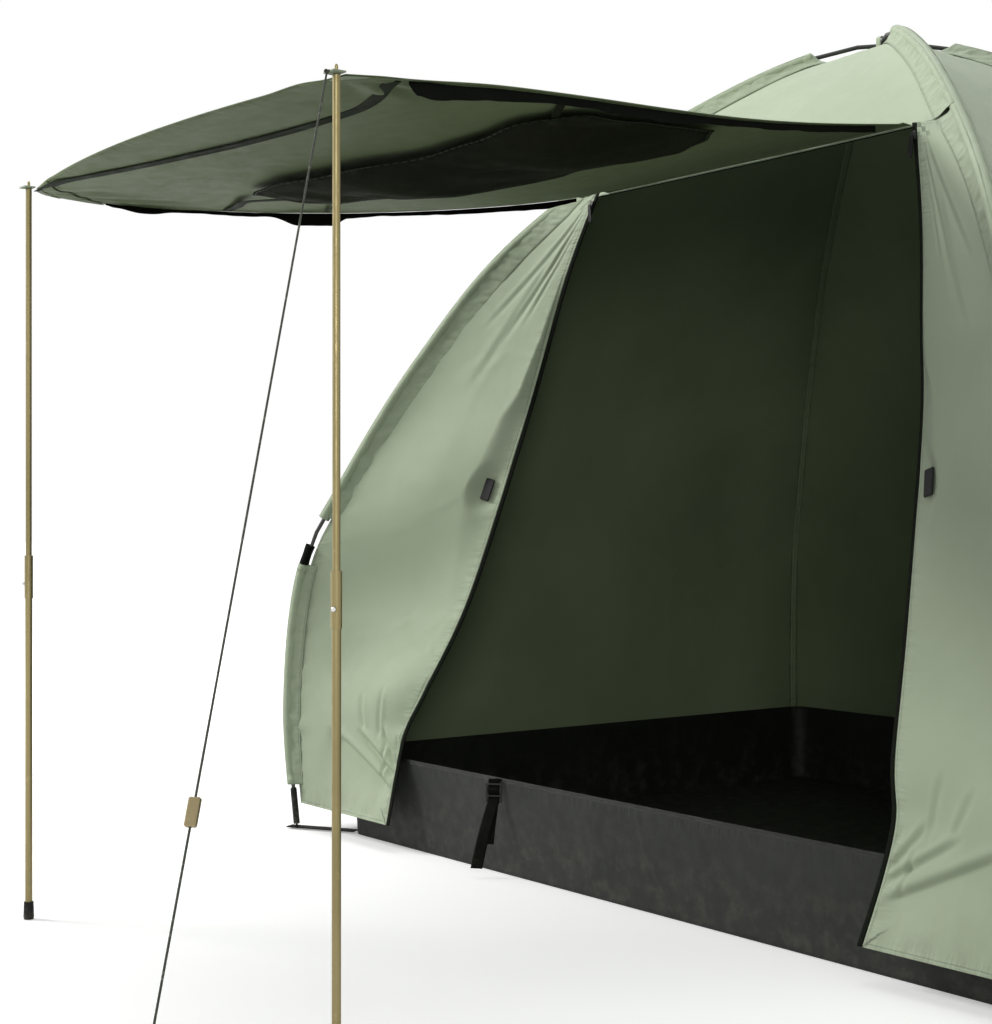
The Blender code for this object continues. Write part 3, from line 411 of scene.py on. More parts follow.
def coat(b, shader, colour, roughness, height, **values):
    """Feed a finish's colour, roughness and relief to its shader, and set its plain values."""
    b.feed(shader["Base Color"], colour)
    b.feed(shader["Roughness"], roughness)
    b.feed(shader["Normal"], b.node("ShaderNodeBump", Height=height, Distance=1.0).outputs[0])
    for key, value in values.items():
        shader[key.replace("_", " ")].default_value = value


def shade(colour, share):
    return tuple(share * part for part in colour)


def cloth_finish(name, light, dark, roughness, sheen, thread=0.00045, row=0.006, pucker=0.05, creases=0.0022,
                 dust=0.25, gloss=0.35):
    """Woven coated cloth with its weave, stitched edges, puckers with painted shade in their hollows, creases and
    wear.
    """
    b, shader = plain_board(name)
    here = b.here()
    weave = b.use("weave", Place=b.cut(), Thread=thread)
    seam = b.use("seam", Edge=b.attribute("edge"), Run=b.attribute("run"), Row=row, Pucker=pucker)
    wear = b.use("wear", Place=here, Dust=dust)
    crease = b.use("creases", Place=here, Depth=creases)
    colour = b.toned(wear, light, dark)
    for share, other in ((b.times(weave["Shade"], 0.10), shade(dark, 0.6)),
                         # Painted shade in the hollows of the puckers
                         (b.times(b.ramp(seam["Pucker"], 0.5, 0.30), 0.35), shade(dark, 0.55)),
                         (b.times(seam["Line"], 0.35), shade(dark, 0.5)),
                         (b.times(seam["Dash"], 0.6), shade(light, 0.8)),
                         (wear["Dust"], (0.30, 0.27, 0.21))):
        colour = b.blend(share, colour, other)
    coat(b, shader, colour, b.worn(wear, roughness - 0.06, roughness + 0.06),
         b.add(b.times(weave["Height"], 0.12), seam["Height"], crease["Height"]),
         Sheen_Weight=sheen, Sheen_Roughness=0.45, Specular_IOR_Level=gloss)


def webbing_finish(name, light, dark, pitch=0.0016):
    """Narrow woven tape: ribs across it, and lighter threads where it is rubbed."""
    b, shader = plain_board(name)
    weave = b.use("weave", Place=b.cut(), Thread=pitch)
    wear = b.use("wear", Place=b.here(), Dust=0.35)
    colour = b.blend(weave["Shade"], dark, light)
    colour = b.blend(b.times(b.ramp(wear["Marks"], 0.5, 0.75), 0.3), colour, shade(light, 1.6))
    colour = b.blend(b.times(wear["Dust"], 0.4), colour, (0.12, 0.11, 0.09))
    coat(b, shader, colour, b.worn(wear, 0.54, 0.70), b.times(weave["Height"], 0.3),
         Sheen_Weight=0.005, Specular_IOR_Level=0.04)


def mesh_finish():
    """Fine insect net, which shows as a dark veil with a faint grid."""
    b, shader = plain_board("insect net")
    here, edge = b.here(), b.attribute("edge")
    weave = b.use("weave", Place=b.cut(), Thread=0.0010)
    seam = b.use("seam", Edge=edge, Run=b.attribute("run"), Row=0.005, Pucker=0.04, Stitch=0.016)
    wear = b.use("wear", Place=here, Dust=0.0)
    border = b.ramp(edge, 0.014, 0.016, 1.0, 0.0)
    colour = b.toned(wear, (0.023, 0.026, 0.014), (0.014, 0.017, 0.010))
    colour = b.blend(b.times(border, 0.85), colour, (0.003, 0.004, 0.002))
    colour = b.blend(b.times(seam["Dash"], 0.55), colour, (0.22, 0.26, 0.17))
    b.feed(shader["Alpha"], b.math("MAXIMUM", border, b.ramp(weave["Shade"], 0.30, 0.62, 0.70, 1.0)))
    crease = b.use("creases", Place=here, Depth=0.004)
    coat(b, shader, colour, b.worn(wear, 0.62, 0.78), b.add(crease["Height"], seam["Height"]),
         Sheen_Weight=0.005, Specular_IOR_Level=0.03)


def cord_finish():
    """Braided cord: two sets of strands that cross round it."""
    b, shader = plain_board("guy cord")
    here = b.here()
    split = b.node("ShaderNodeSeparateXYZ", Vector=here).outputs
    rise = b.times(split[2], 2600.0)
    round_it = b.times(b.math("ADD", split[0], b.times(split[1], -0.83)), 2100.0)
    strands = b.times(*(b.math("SINE", b.math(way, rise, round_it)) for way in ("ADD", "SUBTRACT")))
    fleck = b.ramp(b.noise(here, 160.0, 2.0), 0.60, 0.66)
    colour = b.blend(b.math("MULTIPLY_ADD", strands, 0.5, 0.5), (0.014, 0.017, 0.011), (0.045, 0.052, 0.034))
    colour = b.blend(b.times(fleck, 0.45), colour, (0.30, 0.33, 0.22))
    coat(b, shader, colour, b.ramp(strands, -1.0, 1.0, 0.55, 0.75), b.times(strands, 0.00018))


def tube_finish(name, bright, deep, roughness, metallic):
    """Anodised or lacquered tube, with drawing lines along it and rubbed patches."""
    b, shader = plain_board(name)
    here = b.here()
    drawn = b.noise(b.scaled(here, (900.0, 900.0, 6.0)), 1.0, 2.0)
    wear = b.use("wear", Place=here, Dust=0.3)
    colour = b.blend(b.times(drawn, 0.25), b.toned(wear, bright, deep), shade(deep, 0.6))
    colour = b.blend(b.times(b.ramp(wear["Marks"], 0.58, 0.75), 0.35), colour,
                     tuple(min(1.5 * part, 0.9) for part in bright))
    colour = b.blend(wear["Dust"], colour, (0.25, 0.22, 0.17))
    coat(b, shader, colour, b.worn(wear, roughness - 0.07, roughness + 0.09), b.times(drawn, 0.00002),
         Metallic=metallic)


def plastic_finish(name, plain, roughness):
    """Moulded plastic with a fine spark texture, scuffed where it rubs."""
    b, shader = plain_board(name)
    here = b.here()
    wear = b.use("wear", Place=here, Dust=0.5)
    scuff = b.ramp(b.noise(here, 90.0, 5.0, 0.7), 0.56, 0.72)
    colour = b.blend(b.times(scuff, 0.35), plain, tuple(3.2 * part + 0.01 for part in plain))
    colour = b.blend(wear["Dust"], colour, (0.24, 0.22, 0.18))
    coat(b, shader, colour, b.ramp(scuff, 0.0, 1.0, roughness, roughness + 0.2),
         b.times(b.noise(here, 1400.0, 2.0), 0.00006), Specular_IOR_Level=0.22)


groups = {"weave": weave_effect(), "seam": seam_effect(), "wear": wear_effect(), "creases": crease_effect()}
finish = {}
SAGE = (0.47, 0.545, 0.39), (0.42, 0.495, 0.345)
cloth_finish("sage cloth", *SAGE, 0.60, 0.20)
cloth_finish("sage trim", *SAGE, 0.62, 0.20, row=0.003, pucker=0.01, creases=0.0004)
cloth_finish("sleeve cloth", (0.46, 0.535, 0.38), (0.39, 0.465, 0.32), 0.58, 0.22, row=0.004, pucker=0.040,
             creases=0.0010)
# Underside of the sage cloth (flap, hinge strip, corner patches): the same sage painted darker as painted shade, a
# little less dark as painted daylight through the cloth.
cloth_finish("olive lining", (0.190, 0.245, 0.118), (0.155, 0.200, 0.094), 0.58, 0.04, creases=0.0026, gloss=0.25)
# Inner faces of the sage cloth: the same sage painted darker as painted shade, less dark than shade alone as
# painted daylight through the cloth.
cloth_finish("shaded lining", (0.270, 0.335, 0.200), (0.225, 0.285, 0.165), 0.62, 0.08, creases=0.0024, gloss=0.25)
webbing_finish("olive tape", (0.020, 0.028, 0.013), (0.009, 0.013, 0.006), pitch=0.0009)
cloth_finish("floor cloth", (0.016, 0.018, 0.015), (0.010, 0.012, 0.009), 0.55, 0.01, thread=0.0006,
             creases=0.0040, dust=0.12, gloss=0.30)
webbing_finish("black webbing", (0.0085, 0.010, 0.007), (0.003, 0.0035, 0.0025))
webbing_finish("zip tape", (0.010, 0.012, 0.008), (0.004, 0.005, 0.003), pitch=0.0007)
mesh_finish()
cord_finish()
for name, bright, deep, roughness, metallic in (
        ("arch tube", (0.055, 0.058, 0.052), (0.030, 0.032, 0.028), 0.42, 0.4),
        ("bronze tube", (0.34, 0.28, 0.13), (0.25, 0.205, 0.09), 0.40, 0.65),
        ("runner", (0.33, 0.27, 0.15), (0.26, 0.21, 0.11), 0.38, 0.8),
        ("bright steel", (0.66, 0.65, 0.62), (0.52, 0.51, 0.49), 0.26, 1.0),
        ("dark metal", (0.020, 0.021, 0.019), (0.012, 0.013, 0.012), 0.45, 0.6)):
    tube_finish(name, bright, deep, roughness, metallic)
plastic_finish("black plastic", (0.0035, 0.0040, 0.0035), 0.55)
plastic_finish("grey plastic", (0.026, 0.029, 0.026), 0.50)

set_camera()
guy_cord()


# ---------------------------------------------------------------- arch poles, and surfaces that the cloth lies on

class Arch:
    """One leg of an arch pole in its own upright plane, foot to apex."""

    def __init__(self, leg):
        sign_x, sign_y = LEG_SIGNS[leg]
        self.out = Vector((sign_x * FOOT_HALF_WIDTH, sign_y * FOOT_HALF_DEPTH, 0)).normalized()
        self.beside = Vector((-self.out.y, self.out.x, 0))
        lift = POLE_DIAMETER + GAP if leg in (FRONT_RIGHT, BACK_LEFT) else 0.0
        knots = [Vector((r * FOOT_RADIUS, z * (APEX_HEIGHT + lift), 0)) for r, z in ARCH_SHAPE]
        mirrored = Vector((-knots[-2].x, knots[-2].y, 0))
        self.path = spline_through(knots + [mirrored], 24)[:24 * (len(knots) - 1) + 1]
        self.reach = [0.0]
        for a, b in zip(self.path, self.path[1:]):
            self.reach.append(self.reach[-1] + (b - a).length)
        self.length = self.reach[-1]

    def flat(self, distance):
        distance = min(max(distance, 0.0), self.length)
        k = 1
        while k < len(self.reach) - 1 and self.reach[k] < distance:
            k += 1
        a, b = self.path[k - 1], self.path[k]
        share = (distance - self.reach[k - 1]) / (self.reach[k] - self.reach[k - 1])
        return a.lerp(b, share), (b - a).normalized()

    def frame(self, distance):
        """Place on the pole's axis, with the ways along it and out from the tent."""
        spot, way = self.flat(distance)
        return (self.out * spot.x + Vector((0, 0, spot.y)), self.out * way.x + Vector((0, 0, way.y)),
                self.out * way.y - Vector((0, 0, way.x)))

    def around(self, distance, angle, size):
        """Spot this far from the pole's axis, at an angle round it from its outer side."""
        spot, _, outward = self.frame(distance)
        return spot + (outward * math.cos(angle) + self.beside * math.sin(angle)) * size

    def seam(self, distance):
        spot, _, outward = self.frame(distance)
        flat_spot, _ = self.flat(distance)
        opening = smooth_step((SLEEVE_END_RADIUS + 0.05 - flat_spot.x) / 0.10)
        return spot - outward * lerp(SEAM_DROP, APEX_WINDOW_DROP, opening)

    def at_height(self, height):
        for k, spot in enumerate(self.path):
            if spot.y >= height:
                a, b = self.path[k - 1], spot
                return lerp(self.reach[k - 1], self.reach[k], (height - a.y) / (b.y - a.y))
        return self.length

    def at_radius(self, radius):
        for k in range(len(self.path) - 1, 0, -1):
            if self.path[k - 1].x >= radius:
                a, b = self.path[k - 1], self.path[k]
                return lerp(self.reach[k - 1], self.reach[k], (a.x - radius) / (a.x - b.x))
        return 0.0


ARCHES = {leg: Arch(leg) for leg in LEG_SIGNS}


def between_legs(first, second, bottom_height, sag):
    """Surface stretched between two legs, hem to crown."""
    a, b = ARCHES[first], ARCHES[second]
    lows = (a.at_height(bottom_height), b.at_height(bottom_height))
    tops = (a.at_radius(CROWN_RADIUS), b.at_radius(CROWN_RADIUS))
    inward = -(a.out + b.out).normalized()

    @lru_cache(maxsize=None)
    def ends(v):
        return a.seam(lerp(lows[0], tops[0], v)), b.seam(lerp(lows[1], tops[1], v))

    def surface(u, v):
        left, right = ends(v)
        chord = (right - left).length
        edge = SEAM_GAP / chord
        across = lerp(edge, 1 - edge, u)
        rise = SAG_AT_HEM + (1 - SAG_AT_HEM) * min(v / 0.75, 1)
        hollow = sag * chord * 4 * across * (1 - across) * math.sin(math.pi * rise * 0.8)
        return left.lerp(right, across) + inward * hollow
    return surface


def zip_path(side):
    knots = [Vector((side * (FLAP_ROOT_HALF + half), FLAP_HINGE.y - ahead, HEADER_HEIGHT - drop))
             for drop, half, ahead in ZIP_LINE]
    return spline_through(knots, 12)


ZIPS = {side: zip_path(side) for side in (-1, 1)}
ZIP_TOP = HEADER_HEIGHT - ZIP_LINE[-1][0]


def zip_point(height, side):
    path = ZIPS[side]
    for a, b in zip(path, path[1:]):
        if a.z <= height <= b.z:
            return a.lerp(b, (height - a.z) / (b.z - a.z))
    return path[-1] if height > path[-1].z else path[0]


def roof_surface():
    return between_legs(FRONT_LEFT, FRONT_RIGHT, HEADER_HEIGHT, ROOF_SAG)


def wing_surface(leg, side, edge_gap):
    """Front wall beside the door, from the arch seam to the zip."""
    arch = ARCHES[leg]

    @lru_cache(maxsize=None)
    def ends(v):
        height = lerp(HEM_HEIGHT, ZIP_TOP, v)
        return arch.seam(arch.at_height(height)), zip_point(height, side)

    def surface(u, v):
        outer, inner = ends(v)
        chord = (inner - outer).length
        spot = outer.lerp(inner, lerp(SEAM_GAP / chord, 1 - edge_gap / chord, u))
        return spot + Vector((0, PANEL_SAG * chord * arc(u) * arc(v), 0))
    return surface


def flap_point(u, v, below=0.0):
    """Spot on the door flap: u from -1 to 1 across, v from hinge to outer edge."""
    slope = FLAP_DROP / FLAP_REACH
    out = FLAP_HINGE_GAP + v * (FLAP_REACH - FLAP_HINGE_GAP) + FLAP_BOW * (1 - u * u) * v * v
    half = lerp(FLAP_ROOT_HALF, FLAP_END_HALF, v) - FLAP_EDGE_CURVE * arc(v)
    far = FLAP_FAR_SAG * max(math.sin(math.pi * max(v, 0) ** SAG_LEAN), 0) ** SAG_FULLNESS
    near = FLAP_NEAR_WAVE * math.sin(2 * math.pi * v)
    sag = lerp(far, near, (u + 1) / 2) + FLAP_MIDDLE_SAG * (1 - u * u) * arc(v)
    return FLAP_HINGE + Vector((u * half, -out, -out * slope - sag - below))


# ---------------------------------------------------------------- cloth

def layers_of(shape):
    """The cut's map, and what the finishes read: how far a spot is from a sewn edge, and how far along it."""
    return (shape.loops.layers.uv.new("cut"), shape.verts.layers.float.new("edge"),
            shape.verts.layers.float.new("run"))


def bridge(shape, low, high):
    """Faces between two closed rows of vertices."""
    for k in range(len(low)):
        m = (k + 1) % len(low)
        shape.faces.new([low[k], low[m], high[m], high[k]])


def thicken(item, thickness, inner=0):
    """Wall of a sheet, with its other face in the finish that is this many slots on."""
    wall = item.modifiers.new("cloth", "SOLIDIFY")
    wall.thickness, wall.offset, wall.material_offset = thickness, 0.0, inner


def cloth(name, surface, across, along, outward, finishes, node_name=None, relief=None, thickness=0.0010,
          body="tent", sides=("u0", "u1", "v0", "v1")):
    """A sheet on a surface: its own cut as a map in metres, its sewn edges as attributes, and its relief."""
    if isinstance(finishes, str):
        finishes = [finishes, finishes]
    across, along = max(2, round(across * FINE)), max(2, round(along * FINE))
    rows = [[surface(i / across, j / along) for i in range(across + 1)] for j in range(along + 1)]
    wide = [0.0] + [max((row[i + 1] - row[i]).length for row in rows[::max(1, along // 12)])
                    for i in range(across)]
    high = [0.0] + [max((rows[j + 1][i] - rows[j][i]).length for i in range(0, across + 1, max(1, across // 8)))
                    for j in range(along)]
    for marks in (wide, high):
        for k in range(1, len(marks)):
            marks[k] += marks[k - 1]

    def build(shape):
        bmesh.ops.create_grid(shape, x_segments=across, y_segments=along, size=1.0)
        cut, edge, run = layers_of(shape)
        where = {vert: (round((vert.co.x + 1) / 2 * across), round((vert.co.y + 1) / 2 * along))
                 for vert in shape.verts}
        for face in shape.faces:
            for corner in face.loops:
                i, j = where[corner.vert]
                corner[cut].uv = (wide[i], high[j])
        for vert, (i, j) in where.items():
            row = rows[j]
            sewn = {"u0": (row[0], high[j]), "u1": (row[-1], high[j]),
                    "v0": (rows[0][i], wide[i]), "v1": (rows[-1][i], wide[i])}
            near = [((row[i] - sewn[each][0]).length, sewn[each][1]) for each in sides]
            vert[edge], vert[run] = min([(1.0, 0.0), *near])
            vert.co = row[i]
        shape.normal_update()
        shape.verts.ensure_lookup_table()
        middle = shape.verts[len(shape.verts) // 2]
        if middle.normal.dot(Vector(outward)) < 0:
            bmesh.ops.reverse_faces(shape, faces=shape.faces)
            shape.normal_update()
        if relief:
            normals = {vert: vert.normal.copy() for vert in shape.verts}
            for vert, (i, j) in where.items():
                vert.co += normals[vert] * relief(i / across, j / along, vert[edge], vert[run])
    item = mesh_piece(name, build, finishes, body, [node_name] if node_name else (), sharp=0)
    area = sum(face.area for face in item.data.polygons)
    thicken(item, thickness, len(finishes) - 1)
    flat = [max(wide[-1], 0.011), max(high[-1], 0.011)]
    if area < 0.32 * flat[0] * flat[1]:
        flat[0] = max(area / flat[1] / 0.5, 0.011)
    return item


def ripple(x, y, size, seed=0.0):
    return noise.noise(Vector((x / size, y / size, seed)))


def pulls(run, edge, depth, size, seed, reach, start, stretch=0.3):
    """Short pulls that run in from a sewn edge: how deep and wide, how far in they reach, and where they start."""
    return depth * ripple(run, edge * stretch, size, seed) * smooth_step(1 - edge / reach) \
        * smooth_step(edge / start)


def panel_relief(seed, depth=0.006):
    """Wide shallow swells, and pulls that run in from the sewn edges."""
    def relief(u, v, edge, run):
        swell = ripple(u * 2.0, v * 2.4, 0.55, seed) * depth * smooth_step(edge / 0.25)
        return swell + pulls(run, edge, 0.0026, 0.085, seed + 5, 0.20, 0.02)
    return relief


def skin_panels():
    for name, legs, outward, seed in (
            ("side_panel_left", (BACK_LEFT, FRONT_LEFT), (-1, 0, 0.3), 1.3),
            ("side_panel_right", (FRONT_RIGHT, BACK_RIGHT), (1, 0, 0.3), 7.7),
            ("back_panel", (BACK_RIGHT, BACK_LEFT), (0, 1, 0.3), 4.1)):
        cloth(f"{name}_cloth", between_legs(*legs, HEM_HEIGHT, PANEL_SAG), 104, 130, outward,
              ["sage cloth", "shaded lining"], name, panel_relief(seed))
    cloth("front_roof_cloth", roof_surface(), 100, 60, (0, -0.4, 1), ["sage cloth", "shaded lining"],
          "front_roof_panel", panel_relief(2.9, 0.004))


def crown():
    """Patch of cloth where the poles cross; returns its height."""
    corners = [ARCHES[leg].seam(ARCHES[leg].at_radius(CROWN_RADIUS)) for leg in
               (FRONT_LEFT, FRONT_RIGHT, BACK_LEFT, BACK_RIGHT)]
    middle = sum(corners, Vector()) / 4
    shrink = 1 - SEAM_GAP / FOOT_HALF_DEPTH * FOOT_RADIUS / CROWN_RADIUS

    def surface(u, v):
        spot = corners[0].lerp(corners[1], u).lerp(corners[2].lerp(corners[3], u), v)
        return middle + (spot - middle) * shrink
    cloth("crown_cloth", surface, 16, 16, (0, 0, 1), ["sage trim", "shaded lining"], "crown_patch",
          lambda u, v, edge, run: ripple(u, v, 0.3, 3.3) * 0.0004)
    return middle.z


# A front wing's rough size in metres, the power that gathers its rows low down, and the toggle's place on it
WING_SPAN, WING_RISE = 0.37, 1.36
ROWS_LOW = 1.5
TOGGLE_SPOT = (0.93, 0.528)

# Folds of a front wing as (start, end, width, depth): share across, share up, then metres
FOOT_FOLDS = (((0.60, 0.133), (0.99, 0.072), 0.0065, 0.0100), ((0.80, 0.144), (1.01, 0.080), 0.0060, 0.0085),
              ((0.52, 0.190), (0.64, 0.138), 0.0060, 0.0045), ((0.69, 0.202), (0.79, 0.130), 0.0065, 0.0050),
              ((0.85, 0.120), (0.89, 0.062), 0.0050, 0.0050), ((0.95, 0.135), (1.02, 0.100), 0.0050, 0.0050))
TOP_FOLDS = (((0.62, 0.780), (0.90, 0.985), 0.010, 0.0026), ((0.74, 0.800), (0.95, 0.980), 0.008, 0.0020),
             ((0.35, 0.800), (0.86, 0.990), 0.012, 0.0022), ((0.50, 0.700), (0.70, 0.880), 0.016, 0.0018))
SHELF = ((0.38, 0.129), (0.95, 0.058))
TURN_LINE = ((0.30, 0.86), (0.50, 0.80), (0.54, 0.81), (0.63, 0.835), (0.69, 0.92), (0.79, 0.95))


def beside(u, v, start, end):
    """How far along the line from start to end, as a share, and how far below it in metres."""
    ax, ay = (end[0] - start[0]) * WING_SPAN, (end[1] - start[1]) * WING_RISE
    x, y = (u - start[0]) * WING_SPAN, (v - start[1]) * WING_RISE
    length = math.hypot(ax, ay)
    return (x * ax + y * ay) / length ** 2, (x * ay - y * ax) / length


def crease_along(u, v, start, end, width, depth):
    """A groove on the line from start to end, with a ridge above it."""
    along, off = beside(u, v, start, end)
    ends = smooth_step((along + 0.10) / 0.35) * smooth_step((1.10 - along) / 0.25)
    return ends * depth * (0.6 * math.exp(-(off / width + 1.7) ** 2) - math.exp(-(off / width) ** 2))


def wing_relief(side):
    """Tension folds of a front wing: a turn towards the zip, a slack belly, and gathers at the foot."""
    full = 1.0 if side < 0 else 0.55

    def relief(u, v, edge, run):
        height = lerp(HEM_HEIGHT, ZIP_TOP, v)
        inside = smooth_step(edge / 0.05)
        belly = 0.018 * math.sin(2 * math.pi * (height - 0.66) / 0.60) * bump_at(height, 0.66, 0.56) \
            * arc(u) * full
        line = share_at(TURN_LINE, v)
        turn = 0.024 * bump_at(v, 0.62, 0.30) * smooth_step(u / 0.6) \
            * (1 - smooth_step((u - line) / (1 - line))) * full
        swell = 0.003 * ripple(u, v, 0.45, 3 + side) * inside
        along, off = beside(u, v, *SHELF)
        ends = smooth_step((along + 0.15) / 0.30) * smooth_step((1.12 - along) / 0.25)
        shelf = 0.004 * math.exp(-((off + 0.009) / 0.008) ** 2) \
            - 0.017 * smooth_step((off + 0.004) / 0.011) * math.exp(-max(off, 0.0) / 0.055)
        puff = 0.012 * smooth_step(1 - math.hypot((u - 0.80) * WING_SPAN, (v - 0.205) * WING_RISE) / 0.095) \
            - 0.009 * smooth_step(1 - math.hypot((u - 0.38) * WING_SPAN, (v - 0.235) * WING_RISE) / 0.120)
        folds = shelf * ends + puff + sum(crease_along(u, v, *fold) for fold in FOOT_FOLDS)
        folds *= smooth_step(edge / 0.014) * full
        folds += sum(crease_along(u, v, *fold) for fold in TOP_FOLDS) * inside
        drawn = pulls(run, edge, 0.0030, 0.035, 12 + side, 0.07, 0.008, 0.2) * smooth_step((0.42 - v) / 0.3)
        pull = pulls(run, edge, 0.0014, 0.05, 8 + side, 0.10, 0.012)
        to_toggle = math.hypot((u - TOGGLE_SPOT[0]) * 0.45, (v - TOGGLE_SPOT[1]) * WING_RISE)
        held_in = smooth_step((to_toggle - 0.018) / 0.050)
        return (belly + turn + swell + folds + drawn + pull) * held_in - 0.0006 * (1 - held_in)
    return relief


def wings():
    """The two front walls beside the door, each with its zip tape and pull."""
    for word, leg, side in (("left", FRONT_LEFT, -1), ("right", FRONT_RIGHT, 1)):
        surface = wing_surface(leg, side, ZIP_TAPE_WIDTH + TAPE_GAP)
        relief = wing_relief(side)
        cloth(f"wing_{word}_cloth", lambda u, v: surface(u, v ** ROWS_LOW), 112, 210, (0, -1, 0),
              ["sage cloth", "shaded lining"], f"wing_{word}",
              lambda u, v, edge, run: relief(u, v ** ROWS_LOW, edge, run))
        wide, near = wing_surface(leg, side, 0.0), wing_surface(leg, side, ZIP_TAPE_WIDTH)
        cloth(f"zip_tape_{word}_cloth", lambda u, v: near(1, v).lerp(wide(1, v), u), 3, 160, (0, -1, 0),
              "zip tape", f"zip_tape_{word}", thickness=0.0022)
        zip_pull(word, side)


# Half outline of a zip's pull tab, its pressed line, thickness, rounded edge and lean, and its place on the slider
PULL_OUTLINE = ((0.0035, 0.004), (0.0045, -0.006), (0.0055, -0.030), (0.004, -0.036))
PULL_PRESS, PULL_THICK, PULL_ROUND, PULL_LEAN = 0.0016, 0.0024, 0.0005, 0.10
PULL_PLACE = Vector((0, -0.0045, -0.004))


def zip_pull(word, side):
    """Pull tab that hangs from the slider: a tapered tab with a line pressed round its face."""
    top = (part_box(f"zip_slider_{word}")[0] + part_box(f"zip_slider_{word}")[1]) / 2 + PULL_PLACE

    def build(shape):
        left = [(-x, z) for x, z in PULL_OUTLINE]
        outline = [left[0], *PULL_OUTLINE, *left[:0:-1]]
        face = shape.faces.new([shape.verts.new((x, 0, z)) for x, z in outline])
        bmesh.ops.inset_region(shape, faces=[face], thickness=PULL_PRESS)
        grown = bmesh.ops.extrude_face_region(shape, geom=list(shape.faces))
        verts = [part for part in grown["geom"] if isinstance(part, bmesh.types.BMVert)]
        bmesh.ops.translate(shape, verts=verts, vec=(0, -PULL_THICK, 0))
        bmesh.ops.recalc_face_normals(shape, faces=shape.faces)
        bmesh.ops.bevel(shape, geom=[e for e in shape.edges if e.calc_face_angle(0) > 0.6], offset=PULL_ROUND,
                        offset_type="OFFSET", segments=2, profile=0.5, affect="EDGES", material=-1)
        bmesh.ops.transform(shape, matrix=Matrix.Translation(top) @ Matrix.Rotation(PULL_LEAN * side, 4, "Y"),
                            verts=shape.verts)
    mesh_piece(f"zip_pull_{word}", build, ["black plastic"], f"slider_{word}")


def header():
    """Binding along the roof's lower edge, above the door."""
    roof = roof_surface()
    slope = (roof(0.5, 0.1) - roof(0.5, 0.0)).normalized()
    inward = slope.cross(Vector((1, 0, 0)))

    def surface(u, v):
        across = lerp(HEADER_BAND_INSET, 1 - HEADER_BAND_INSET, u)
        return roof(across, 0.0) + slope * lerp(GAP, HEADER_BAND_HEIGHT, v) + inward * (CLOTH + 2 * GAP)
    cloth("header_band_cloth", surface, 90, 3, (0, -1, 0.4), "black webbing", "header_band",
          thickness=0.0014)


# The hinge strip's lap on the roof and past the flap's corners, its drop below the roof, its stop at the flap
HINGE_LAP, HINGE_BELOW, HINGE_STOP = 0.004, 0.0016, 0.0048


def hinge_cloth():
    """Strip of the roof's cloth that runs on from its lower edge to the root of the flap."""
    roof = roof_surface()
    half = roof(1, 0).x

    def surface(u, v):
        across = 0.5 + (u - 0.5) * (FLAP_ROOT_HALF + HINGE_LAP) / half
        low, high = roof(across, 0.0), roof(across, 0.1)
        slope = (high - low).normalized()
        back = low + slope * HINGE_LAP + slope.cross(Vector((1, 0, 0))) * -HINGE_BELOW
        return back.lerp(Vector((back.x, FLAP_HINGE.y - HINGE_STOP, FLAP_HINGE.z + HINGE_BELOW)), v)
    # The strip's underside is painted shade.
    cloth("flap_hinge_cloth", surface, 90, 6, (0, -0.2, 1), ["sage cloth", "olive lining"], thickness=0.0008,
          sides=("v0", "v1"))


# Depth of the zip covers along the flap, from hinge to outer edge, at its far and near side
COVER_DEPTHS = {
    -1: ((0.05, 0.008), (0.12, 0.014), (0.22, 0.011), (0.45, 0.007), (0.505, 0.010), (0.535, 0.025),
         (0.590, 0.024), (0.640, 0.008), (0.780, 0.006), (0.840, 0.013), (0.885, 0.007), (0.90, 0.003)),
    1: ((0.05, 0.012), (0.36, 0.011), (0.47, 0.018), (0.56, 0.015), (0.64, 0.012), (0.72, 0.016),
        (0.80, 0.021), (0.865, 0.025), (0.890, 0.020), (0.90, 0.004))}


# Depth of the awning cloth's swells, and how close and how deep the folds at its corners are
FLAP_SWELL, CORNER_FOLDS, CORNER_FOLD_DEPTH = 0.005, 17, 0.0030


def flap_lift(x, v):
    """Swells of the awning cloth, and the folds that run to its corners, at x from -1 to 1 across."""
    edge = min((1 - abs(x)) * FLAP_END_HALF, (1 - v) * FLAP_REACH, v * FLAP_REACH)
    swell = FLAP_SWELL * ripple((x + 1) / 2, v, 0.4, 6.0) * smooth_step(edge / 0.1)
    off = math.hypot(1 - v, 1 - abs(x))
    fan = math.sin(CORNER_FOLDS * math.atan2(1.02 - v, 1.02 - abs(x)))
    return swell + CORNER_FOLD_DEPTH * fan * bump_at(off, 0.17, 0.15) * smooth_step(off / 0.08)


def flap_relief(u, v, edge, run):
    x = 2 * u - 1
    pull = pulls(run, edge, 0.0020, 0.09, 2.0, 0.12, 0.012)
    return flap_lift(x, v) + pull * smooth_step((math.hypot(1 - v, 1 - abs(x)) - 0.22) / 0.10)


